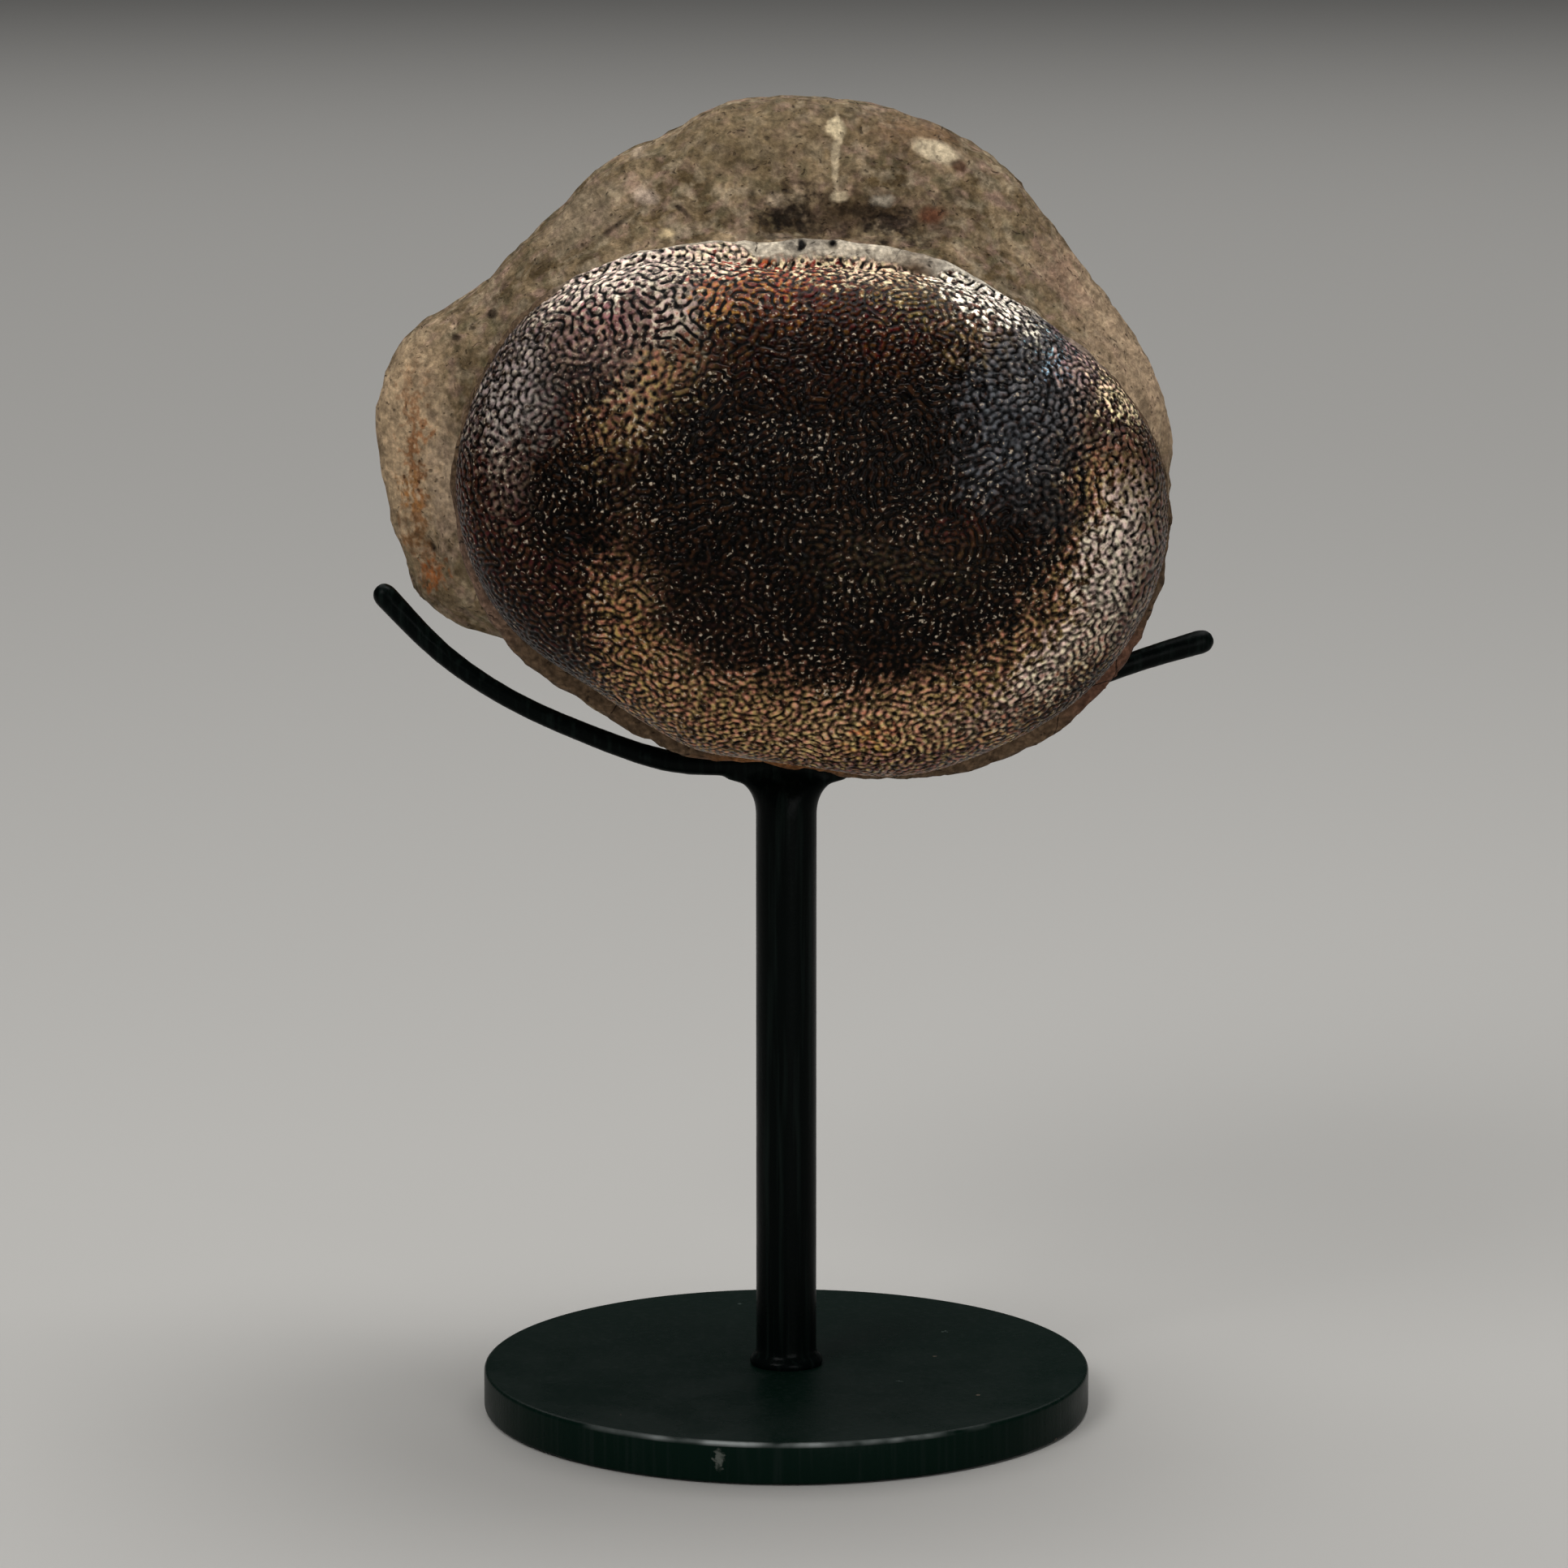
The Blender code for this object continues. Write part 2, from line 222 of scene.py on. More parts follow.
def copy_of_node(node: str, name: str) -> Item:
    """Copy a CAD node's mesh into a new object and merge its loose triangles.

    Args:
        node: Name of the CAD node.
        name: Name of the new object.

    Returns:
        The new object, at the origin as the node is.
    """
    item = bpy.data.objects.new(name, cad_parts[node].data.copy())
    bpy.context.scene.collection.objects.link(item)
    select_only(item)
    bpy.ops.mesh.customdata_custom_splitnormals_clear()
    bpy.ops.object.mode_set(mode="EDIT")
    bpy.ops.mesh.select_all(action="SELECT")
    bpy.ops.mesh.remove_doubles(threshold=MERGE_DISTANCE)
    bpy.ops.mesh.mark_sharp(clear=True)
    bpy.ops.mesh.tris_convert_to_quads()
    bpy.ops.object.mode_set(mode="OBJECT")
    item.data.materials.clear()
    return item


def select_faces(item: Item, test: Callable[[np.ndarray], np.ndarray]) -> None:
    """Select the faces whose centres pass a test.

    Args:
        item: The object, in object mode.
        test: Takes the centres in millimetres and says which ones pass.
    """
    mesh = item.data
    centres = np.empty(len(mesh.polygons) * 3, np.float32)
    mesh.polygons.foreach_get("center", centres)
    for parts in (mesh.vertices, mesh.edges):
        parts.foreach_set("select", np.zeros(len(parts), bool))
    mesh.polygons.foreach_set("select", test(centres.reshape(-1, 3) * PER_MM))
    mesh.update()


def finish_piece(item: Item, finish: Material, slot: Slot, *nodes: str) -> None:
    """Dress a finished piece and tie it to the frame.

    Args:
        item: The piece.
        finish: Its material.
        slot: Not used.
        *nodes: CAD nodes that it stands for.
    """
    item.data.materials.append(finish)
    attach(item, "root")
    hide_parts(*nodes)
    faces = sum(len(face.vertices) - 2 for face in item.data.polygons)
    log.info("%s stands for %s with %d triangles", item.name, ", ".join(nodes), faces)


@dataclass(frozen=True)
class Patch:
    """A place with a soft edge, as an ellipsoid: a stain, painted light or shade, a pit, or where
    something holds.

    Attributes:
        colour: Colour at its middle, if it has one.
        centre, reach: Its centre and its half widths.
        strength: How much it covers what lies under it, or its depth or shift in millimetres.
        softness: Share of its reach over which it fades.
        tilt: Turn about Y in degrees, as seen from the front, anticlockwise.
    """

    colour: str
    centre: Triple
    reach: Triple
    strength: float = 1.0
    softness: float = 0.7
    tilt: float = 0.0

    def mask(self, add: Adder, place: Node) -> Node:
        """Add nodes for how much the patch covers at a place.

        Args:
            add: Adds a node.
            place: Place in millimetres.

        Returns:
            Node whose result is between 0 and the patch's strength.
        """
        away = add("VectorMath", (place, self.centre), "SUBTRACT")
        if self.tilt:
            turn = {"Vector": away, "Angle": math.radians(self.tilt)}
            away = add("VectorRotate", turn, "Y_AXIS")
        share = add("VectorMath", (away, self.reach), "DIVIDE")
        length = add("VectorMath", (share,), "LENGTH")
        fade = (length, 1.0, 1.0 - self.softness, 0.0, self.strength)
        return add("MapRange", fade, "SMOOTHSTEP")


Patches = tuple[Patch, ...]


def patches(y: float, depth: float, *rows: tuple) -> Patches:
    """Make patches that share one place and one reach along Y.

    Args:
        y: Y of their centres.
        depth: Their half width along Y.
        *rows: Colour, X and Z of the centre, half width along X and Z, strength, softness and
            tilt of each, of which the last three may be left out.

    Returns:
        The patches, in the same order.
    """
    return tuple(
        Patch(colour, (x, y, z), (across, depth, high), *rest)
        for colour, x, z, across, high, *rest in rows
    )


def paint_patches(add: Adder, place: Node, ground: Node | str, stains: Patches) -> Node:
    """Lay patches of colour over a ground, one after another.

    Args:
        add: Adds a node.
        place: Place in millimetres.
        ground: Colour under the patches.
        stains: The patches, the lowest first.

    Returns:
        Node that gives the final colour.
    """
    for patch in stains:
        ground = add("Mix", (patch.mask(add, place), ground, patch.colour), "RGBA")
    return ground


FACE_STAINS_AND_PAINTED_LIGHT = patches(
    0, FAR,
    # Golden ring, which the dark middle leaves open along the bottom and the right side: partly
    # the fossil's colour, partly painted light, with painted highlights on the bottom band and
    # the pale right edge and painted shade in the darker brown at the outer right
    ("8a6c49", 7, 118, 43, 37, 1, 0.25),
    ("a3855f", 12, 96.5, 24, 6, 0.9, 0.8, 6),
    ("6d5343", 14, 90, 24, 3.4, 0.9, 0.7, 4),
    ("57463a", 46.5, 112, 6, 17, 0.85, 0.6, -14),
    ("b4a594", 41, 117, 5.5, 14, 1, 0.6, -12),
    ("c4b29c", 33.5, 104.5, 4.4, 11, 0.95, 0.7, -48),
    ("927d6e", 26, 98, 9, 2.8, 0.8, 0.8, 22),
    ("a87335", 10.8, 94.5, 5, 2.5, 0.7, 0.9, 20),
    # Nearly black middle: partly the fossil's dark colour, partly painted shade where the face
    # looks at the camera and catches no light
    ("0c0704", 8, 124.5, 32, 26, 1, 0.22),
    ("150d08", -8.5, 110.5, 10.5, 9, 0.95, 0.5, -40),
    ("3a2114", 21.5, 121.5, 7, 3.5, 0.7, 0.9, 20),
    ("30271a", 14, 118.5, 17, 6, 0.7, 0.9, -6),
    # Brown and lilac-grey left side with its dark blots and its rust edge
    ("2b180f", -33, 123, 17, 27, 1, 0.5),
    ("766d67", -33, 137.5, 7, 12, 1, 0.8, -22),
    ("55463d", -34, 127, 5, 8, 0.8, 0.8),
    ("080503", -26, 124.5, 8.2, 10.3, 1, 0.5),
    ("1d1714", -24.5, 139.8, 5.5, 4.5, 0.9, 0.7),
    ("3d2416", -41, 119, 4, 12, 0.8, 0.8),
    ("26170f", -29.5, 107, 12.5, 8.5, 0.9, 0.6, -42),
    # Light column that joins the ring at its foot
    ("1f150e", -19.4, 128, 3.2, 14, 0.8, 0.8),
    ("786651", -18.9, 141, 3.2, 6.5, 0.8, 0.8),
    ("765936", -18.5, 108.5, 3.6, 9.5, 0.95, 0.8, 22),
    # Ember zone under the top rim, brightest at its left end
    ("190b04", 3.5, 146, 24, 10, 0.95, 0.5),
    ("391a07", 13, 145.5, 9, 4.5, 0.7, 0.9, -12),
    ("94673f", -9, 149.8, 8, 3.2, 0.85, 0.8, 6),
    ("4a230b", 2, 149.6, 13, 4.2, 0.8, 0.9),
    ("8a5226", -1, 152, 12, 2.6, 0.8, 0.8),
    ("6f5326", 14.5, 151.2, 8, 2.6, 0.8, 0.8),
    ("5e4a29", 15, 150, 6.5, 3.2, 0.9, 0.8, -20),
    # Grey labyrinth at the top left, with rose and pale blots, and the cream rim over it, partly
    # the bone's pale colour and partly a painted highlight where light from above falls on it
    ("625047", -20, 148, 14, 7.5, 0.95, 0.6, 28),
    ("7a5950", -22, 147, 4.5, 3, 0.7, 0.8, 30),
    ("978879", -13.5, 148.3, 3, 5.5, 0.85, 0.7, 20),
    ("cbb9a7", -19, 153.2, 19, 3.6, 1, 0.7, 20),
    ("cbb69d", -6, 155.4, 10, 3.4, 1, 0.5, 8),
    ("c4ab8c", 9, 154.9, 23, 3.6, 1, 0.5, -8),
    # Blue-grey shade at the upper right, with a pale rim that is partly a painted highlight, a
    # rose smear and painted blue glints
    ("414245", 30.5, 137, 11, 15.5, 0.95, 0.6, -18),
    ("2d2b2a", 33.5, 126.5, 6, 9, 0.8, 0.8),
    ("8a736c", 37, 141, 5, 4, 0.9, 0.7, -35),
    ("dcc59c", 42, 137.4, 2.6, 6, 0.9, 0.7, 40),
    ("3b3231", 40.5, 133, 3.5, 3.5, 0.8, 0.7),
    ("e2d8c6", 25, 149.8, 9.5, 2.9, 1, 0.5, -30),
    ("a3c3d8", 33.4, 141.6, 2.6, 1.1, 0.85, 0.9, -40),
    # Dark groove inside the lip, at the lower left and the lower right: painted shade in the
    # groove, with some stain
    ("140d09", -29.5, 101, 17, 3.2, 0.95, 0.7, -38),
    ("1c120c", 36, 99, 12.5, 3, 0.95, 0.7, 40),
)

BODY_PATCHES = (
    # Browner top right, greyer left shoulder
    Patch("6a5038", (20, 21, 167), (15, 12, 5), 0.7, 0.8),
    Patch("8b7a64", (-27, 18, 156), (9, 12, 6), 0.7, 0.8, 40),
    # Greener top
    Patch("716046", (-4, 18, 166), (22, 14, 9), 0.7, 0.9),
)

BODY_CRUSTS_AND_PAINTED_LIGHT = (
    # Painted light on the edges of the left process and the right flank, which light from the
    # sides makes brighter than the top
    Patch("cdb08d", (-50, 20, 126), (10, 18, 24), 0.85, 0.8),
    Patch("c2a688", (49, 19, 134), (12, 26, 36), 0.7, 0.9, 30),
    Patch("b9a187", (-44, 18, 121), (4.5, 12, 14), 0.8, 0.8, 6),
    # Mouth of the spinal canal behind the lip, dark partly from a stain and partly from painted
    # shade in the dip behind the lip
    Patch("3e2f22", (8.5, 12, 156.4), (23, 12, 5.4), 0.75, 0.8),
    Patch("120c08", (0.5, 11, 156.3), (6, 9, 2.8), 0.85, 0.8, 12),
    Patch("150e09", (13, 11, 155.4), (9, 9, 2.5), 0.8, 0.8, -14),
    # Rust down the left process
    Patch("93592c", (-49.3, 18, 124), (1.8, 8, 17), 0.75, 0.9),
    Patch("7a5230", (-50, 18, 113), (3.4, 8, 6.5), 0.85, 0.8, -12),
    Patch("a0682f", (-50.5, 18, 119), (1.8, 8, 4), 0.8, 0.8),
    Patch("9a5626", (-47, 18.7, 108), (3.6, 5, 3.2), 0.85, 0.8),
    # Rosy crust on the right shoulder
    Patch("a2806c", (36, 18, 148), (4, 14, 6.5), 0.5, 0.9, 40),
)

BODY_MARKS = (
    # Grey and rust crumbs in the spinal canal
    Patch("a39886", (12.5, 12, 158.2), (2.2, 8, 1), 0.8, 0.7),
    Patch("988670", (-1.5, 12, 158.6), (1.6, 8, 1.2), 0.8, 0.7),
    Patch("5e3523", (19, 12, 156.5), (2.6, 8, 1.4), 0.8, 0.7),
    # Pale vein down the middle, its blob and its foot
    Patch("c0ad8e", (6.5, 18, 164), (0.8, 12, 8), 0.85, 0.7, -2),
    Patch("d3c09c", (6.3, 19.5, 167.4), (1.8, 3, 2), 0.95, 0.5),
    Patch("c9b696", (6.8, 13, 158.9), (1.5, 4, 1.1), 0.9, 0.6),
    # Cream patch and its red-brown spot
    Patch("cdbb9c", (19.7, 19.8, 164.3), (4.5, 3.5, 1.9), 0.9, 0.6, -18),
    Patch("4a2c1f", (22.8, 19.3, 162.6), (1.7, 2, 1.3), 0.8, 0.6),
    # Small cream crumbs and dark splits on the left shoulder
    Patch("d0b88f", (-15.5, 10.3, 154.2), (1.4, 3, 1), 0.9, 0.6),
    Patch("c0aa96", (-18.5, 15, 158.6), (2.4, 14, 1.5), 0.9, 0.8),
    Patch("c0ab95", (-20, 19, 164.4), (2.2, 14, 1.6), 0.95, 0.8),
    Patch("2a2018", (-22.5, 14, 154.6), (4, 14, 0.6), 0.8, 0.8, 38),
    Patch("2a2018", (-13.5, 14, 156.8), (2.8, 14, 0.6), 0.8, 0.8, -30),
    # Pits of the left process
    Patch("2b2018", (-46.9, 15.9, 129.7), (1.1, 2, 1.3), 0.9, 0.6),
    Patch("2b2018", (-47.1, 17.4, 112), (1, 2, 1.2), 0.9, 0.6),
    Patch("2b2018", (-43.7, 17.4, 140.2), (1.1, 2, 0.9), 0.9, 0.6),
    Patch("2b2018", (-38.8, 16.6, 143.1), (1.4, 2, 0.8), 0.9, 0.6),
)

LIP_STAINS_AND_PAINTED_LIGHT = patches(
    -19, 8,
    # Cream and grey bone along the top: partly its colour, partly a painted highlight where light
    # from above falls on the lip
    ("b8aa97", -17, 153, 15, 4.5, 1, 0.6, 20),
    ("d0c2ac", 3, 155.5, 20, 4, 1, 0.5),
    ("a19686", 2.5, 155.6, 4.5, 1.6, 0.9, 0.7),
    ("d6cbb8", 26, 149.5, 12, 4, 1, 0.6, -28),
    ("a48f80", 37.5, 141.5, 5, 6, 0.9, 0.7),
    # Pinkish granular bone at the left, redder at the right
    ("7d6353", -40, 112, 9, 16, 0.9, 0.7),
    ("6b4a3b", 41, 101, 10, 12, 0.9, 0.7),
    # Rust line along the bottom
    ("8a5a34", -3, 88.5, 16, 3, 0.9, 0.7),
) + patches(
    -19, 2.6,
    # Two black pits on top
    ("0c0908", 1.9, 155.4, 0.7, 1.1, 1, 0.5),
    ("0c0908", 5.7, 155.4, 1.1, 1, 1, 0.5, 20),
)

CUP_PATCHES = (
    # Darker middle of the hollow, a rusty lower side and a worn, pale rim
    Patch("33271d", (3.3, 35, 122), (40, 30, 30), 0.85, 0.7),
    Patch("19120d", (8, 30, 118), (24, 20, 15), 0.9, 0.8),
    Patch("5f452c", (-8, 35, 103), (26, 20, 9), 0.8, 0.8, 12),
    Patch("8a7863", (-28, 38, 132), (9, 12, 15), 0.7, 0.9, 20),
    Patch("77695a", (30, 38, 138), (12, 12, 6), 0.6, 0.9, -30),
)

RIM_OVERLAPS = patches(
    -19, 8,
    # Top left, middle and top right of the lip
    ("", -17, 152.5, 15, 8, 2, 0.4, 20),
    ("", 5, 155, 17, 5, 0.9, 0.4),
    ("", 28, 150, 12, 8, 1.6, 0.4, -28),
)

TRACK_PLACES = patches(
    0, 1,
    ("", -20, 31, 26, 13.5, 1, 0.5),
    ("", 12, 38.5, 34, 8, 1, 0.5),
    ("", 29, 31, 13, 8, 1, 0.5),
    ("", -22, 16, 6, 10, 0.7, 0.7),
    ("", 43, -1, 9, 20, 0.6, 0.6),
    ("", -45, 12, 13, 18, 0.7, 0.7),
)

PITS = (
    # On top of the lip
    Patch("", (1.9, -18.9, 155.6), (0.9, 1.6, 1.2), 0.7, 0.7),
    Patch("", (5.7, -18.9, 155.7), (1.5, 1.6, 1.2), 0.8, 0.7, 20),
    # On the left process
    Patch("", (-46.9, 15.9, 129.7), (2.2, 2.6, 2.6), 0.5, 0.8),
    Patch("", (-47.1, 17.4, 112), (2.2, 2.6, 2.6), 0.5, 0.8),
    # Mouth of the spinal canal
    Patch("", (6, 11, 156), (11, 6, 2.6), 0.8, 0.7),
)

PLATE_MARKS = (
    # Chip at the front edge, then specks of dust on top
    Patch("5a5e58", (-8.6, -39.4, 3.2), (0.8, 1.5, 1.7), 0.9, 0.7),
    Patch("46504c", (21.3, 16.1, 5.5), (0.45, 0.5, 1), 0.9, 0.5),
    Patch("46504c", (14.8, -9.6, 5.5), (0.5, 0.4, 1), 0.9, 0.5),
    Patch("46504c", (-6.3, 31.5, 5.5), (0.4, 0.5, 1), 0.9, 0.5),
)


@dataclass(frozen=True)
class Growth:
    """How one kind of crack pattern grows.

    Attributes:
        spacing: Distance from one crack to the next.
        flatten: How much wider than high its parts are, as a square root.
        push: Push of the waves upwards, which rounds them into granules.
        uneven: How much the push differs from place to place.
    """

    spacing: float
    flatten: float
    push: float
    uneven: float


@dataclass(frozen=True)
class GrownSheet:
    """Relief of the calcified cartilage, grown on a flat sheet.

    Such cartilage splits at an even distance, here into small granules, there into winding
    tracks. Waves of one length that feed on each other (the Swift-Hohenberg equation) settle in
    the same way, and stopping them early leaves the short, loose ends of the real cracks.

    Attributes:
        granules, tracks: Growth of the granules and of the winding tracks.
        cell, columns, rows: Width of a cell of the sheet, and its cells across and up.
        steps, time_step, drive: Steps of growth, the time of each, and its strength.
        start, seed: Spread and seed of the noise that the waves grow from.
        uneven_size: Width of the places that differ in their push.
        track_places: Where tracks form: X across and Z up from the sheet's middle.
    """

    granules: Growth = Growth(0.96, 1.09, 0.9, 0.2)
    tracks: Growth = Growth(1.27, 1.0, 0.28, 0.12)
    cell: float = 0.125
    columns: int = 864
    rows: int = 720
    steps: int = 17
    time_step: float = 0.5
    drive: float = 0.5
    start: float = 0.3
    uneven_size: float = 3.0
    seed: int = 11
    track_places: Patches = TRACK_PLACES

    def track_share(self) -> np.ndarray:
        """Work out where tracks form.

        Returns:
            Share of tracks, as against granules, in each cell.
        """
        across = (np.arange(self.columns) - self.columns / 2) * self.cell
        up = (np.arange(self.rows) - self.rows / 2) * self.cell
        share = np.zeros((self.rows, self.columns))
        for patch in self.track_places:
            along = (across[None, :] - patch.centre[0]) / patch.reach[0]
            high = (up[:, None] - patch.centre[2]) / patch.reach[2]
            inside = np.clip((1.0 - np.hypot(along, high)) / patch.softness, 0, 1)
            share = np.maximum(share, patch.strength * inside * inside * (3 - 2 * inside))
        return share

    def grow(self, growth: Growth) -> np.ndarray:
        """Grow one kind of pattern over the whole sheet.

        Args:
            growth: How it grows.

        Returns:
            Height of each cell, with a spread of 1. Cracks are its valleys.
        """
        dice = np.random.default_rng(self.seed)
        across = 2 * np.pi * np.fft.rfftfreq(self.columns, self.cell)[None, :]
        up = 2 * np.pi * np.fft.fftfreq(self.rows, self.cell)[:, None]
        broad = np.exp(-0.5 * (across ** 2 + up ** 2) * (self.uneven_size / 2) ** 2)
        noise = dice.standard_normal((self.rows, self.columns))
        places = np.fft.irfft2(np.fft.rfft2(noise) * broad, s=noise.shape)
        places = np.clip(places / places.std(), -2, 2) * growth.uneven
        sheet = dice.standard_normal(noise.shape) * self.start
        square = (across * growth.flatten) ** 2 + (up / growth.flatten) ** 2
        square *= (growth.spacing / (2 * np.pi)) ** 2
        damping = 1.0 - self.time_step * (self.drive - (1.0 - square) ** 2)
        for _ in range(self.steps):
            feed = 0.4 * places * sheet + (growth.push + 2 * places) * sheet ** 2 - sheet ** 3
            wave = np.fft.rfft2(sheet + self.time_step * feed)
            sheet = np.fft.irfft2(wave / damping, s=sheet.shape)
        return sheet / sheet.std()

    def sample(self, chart: np.ndarray) -> tuple[np.ndarray, np.ndarray]:
        """Take the sheet at places on it.

        Args:
            chart: Rows of places on the sheet, measured from its middle.

        Returns:
            Rows of height and of the slopes across and up, and the share of tracks.
        """
        share = self.track_share()
        sheet = self.grow(self.granules) * (1 - share) + self.grow(self.tracks) * share
        slope_up, slope_across = np.gradient(sheet, self.cell)
        column = np.clip(chart[:, 0] / self.cell + self.columns / 2, 0, self.columns - 1.01)
        row = np.clip(chart[:, 1] / self.cell + self.rows / 2, 0, self.rows - 1.01)
        left, low = column.astype(int), row.astype(int)
        right_share, high_share = column - left, row - low
        samples = []
        for layer in (sheet, slope_across, slope_up, share):
            below, above = [
                layer[line, left] * (1 - right_share) + layer[line, left + 1] * right_share
                for line in (low, low + 1)
            ]
            samples.append(below * (1 - high_share) + above * high_share)
        return np.stack(samples[:3], axis=1), samples[3]


@dataclass(frozen=True)
class CrackNet:
    """The net of cracks as nodes, for the carving and the finish alike.

    Attributes:
        level: Height of the grown sheet below which a crack lies.
        softness: Range of height over which a crack's edge fades, for granules and for tracks.
        tops: Height above that level at which they are at their fullest.
        patch_size: Width of the places that differ in tone.
    """

    level: float = -0.82
    softness: tuple[float, float] = (0.32, 0.2)
    tops: tuple[float, float] = (2.5, 1.3)
    patch_size: float = 1.05

    def nodes(self, add: Adder, chart: Socket, worm: Socket) -> tuple[Node, Node, Node]:
        """Add the net's nodes to a tree.

        Args:
            add: Adds a node.
            chart: Place on the unrolled face in millimetres, and the share of tracks.
            worm: The grown sheet's height, less half of what its slopes give, and its slopes.

        Returns:
            How much of a crack a place is, how far it swells between cracks, and a noise that
            differs from granule to granule.
        """
        flat = add("VectorMath", (chart, (1.0, 1.0, 0.0)), "MULTIPLY")
        base, across, up = add("SeparateXYZ", (worm,)).outputs
        slopes = add("CombineXYZ", (across, up))
        rise = add("VectorMath", (slopes, flat), "DOT_PRODUCT")
        height = add("Math", (rise, 0.5, base), "MULTIPLY_ADD")
        share = add("SeparateXYZ", (chart,)).outputs[2]
        above = add("Math", (height, self.level), "SUBTRACT")
        soft = add("MapRange", (share, 0.0, 1.0, *self.softness))
        from_edge = add("Math", (above, soft), "DIVIDE")
        line = add("MapRange", (from_edge, 1.0, -1.0), "SMOOTHSTEP")
        top = add("MapRange", (share, 0.0, 1.0, *self.tops))
        rounded = add("MapRange", (above, -0.3, top), "SMOOTHSTEP")
        tone = add("TexNoise", (flat, 1 / self.patch_size, 2.0), noise_dimensions="2D")
        return line, rounded, tone


@dataclass(frozen=True)
class BoneZones:
    """Where the faces and the lip of the bone begin and end, for the carving and the finish.

    Attributes:
        face_end: Y where the domed joint face ends in its groove, and half the step's width.
        overlaps: Where its net runs on over the lip, with how far as strengths.
        lip_end: Y where the lip around it has turned into the side, and half the step's width.
        cup: The hollow joint face at the back, seen along Y.
        cup_start: Y behind which it lies.
    """

    face_end: tuple[float, float] = (-20.9, 0.4)
    overlaps: Patches = RIM_OVERLAPS
    lip_end: tuple[float, float] = (-15.5, 2.5)
    cup: Patch = Patch("", (3.3, 0.0, 122.6), (43.2, 1.0, 32.4), 1.0, 0.05)
    cup_start: float = 22.0

    def before(self, add: Adder, along: Node | Socket, end: float, half: float) -> Node:
        """Add nodes for 1 in front of an end along Y and 0 behind it."""
        return add("MapRange", (along, end + half, end - half), "SMOOTHSTEP")

    def face(self, add: Adder, place: Node) -> Node:
        """Mark the domed face.

        Args:
            add: Adds a node.
            place: Place in millimetres.

        Returns:
            Node that gives 1 on the face and 0 beyond its groove.
        """
        along = add("SeparateXYZ", (place,)).outputs[1]
        for patch in self.overlaps:
            along = add("Math", (along, patch.mask(add, place)), "SUBTRACT")
        return self.before(add, along, *self.face_end)

    def lip(self, add: Adder, place: Node) -> Node:
        """Add nodes for 1 on the lip and the face inside it, fading out on the side."""
        along = add("SeparateXYZ", (place,)).outputs[1]
        return self.before(add, along, *self.lip_end)

    def hollow(self, add: Adder, place: Node) -> Node:
        """Mark the hollow face at the back.

        Args:
            add: Adds a node.
            place: Place in millimetres.

        Returns:
            Node that gives 1 in the hollow face and 0 outside its rim.
        """
        flat = add("VectorMath", (place, (1.0, 0.0, 1.0)), "MULTIPLY")
        along = add("SeparateXYZ", (place,)).outputs[1]
        behind = add("Math", (along, self.cup_start), "GREATER_THAN")
        return add("Math", (self.cup.mask(add, flat), behind), "MULTIPLY")


@dataclass(frozen=True)
class StoneGrain:
    """Sizes of what shows in the bare stone. The finest are drawn coarser than the real ones.

    Attributes:
        blotch, tint: Blotches of light and dark, and tints.
        crumb: Crumbs at a crust's edge, and how far they scatter.
        granule: Granules of the lip and of the hollow face.
        pore: Distance from pore to pore.
        grain, gloss: Sandy grain, about 0.2 mm in the real bone, and places that differ in gloss.
        streak, streak_turn: Waves per millimetre along X, Y and Z, after a turn about Y.
        fibre, split: Waves per millimetre, few along the body.
        flare: Middle and half width of the flare along Y, which has no splits.
    """

    blotch: float = 6.0
    tint: float = 2.4
    crumb: tuple[float, float] = (1.3, 9.0)
    granule: float = 0.85
    pore: float = 1.7
    grain: float = 0.7
    gloss: float = 0.45
    streak: Triple = (0.12, 0.2, 0.9)
    streak_turn: float = -38.0
    fibre: Triple = (1.3, 0.09, 1.3)
    split: Triple = (0.09, 0.026, 0.09)
    flare: tuple[float, float] = (14.0, 12.0)


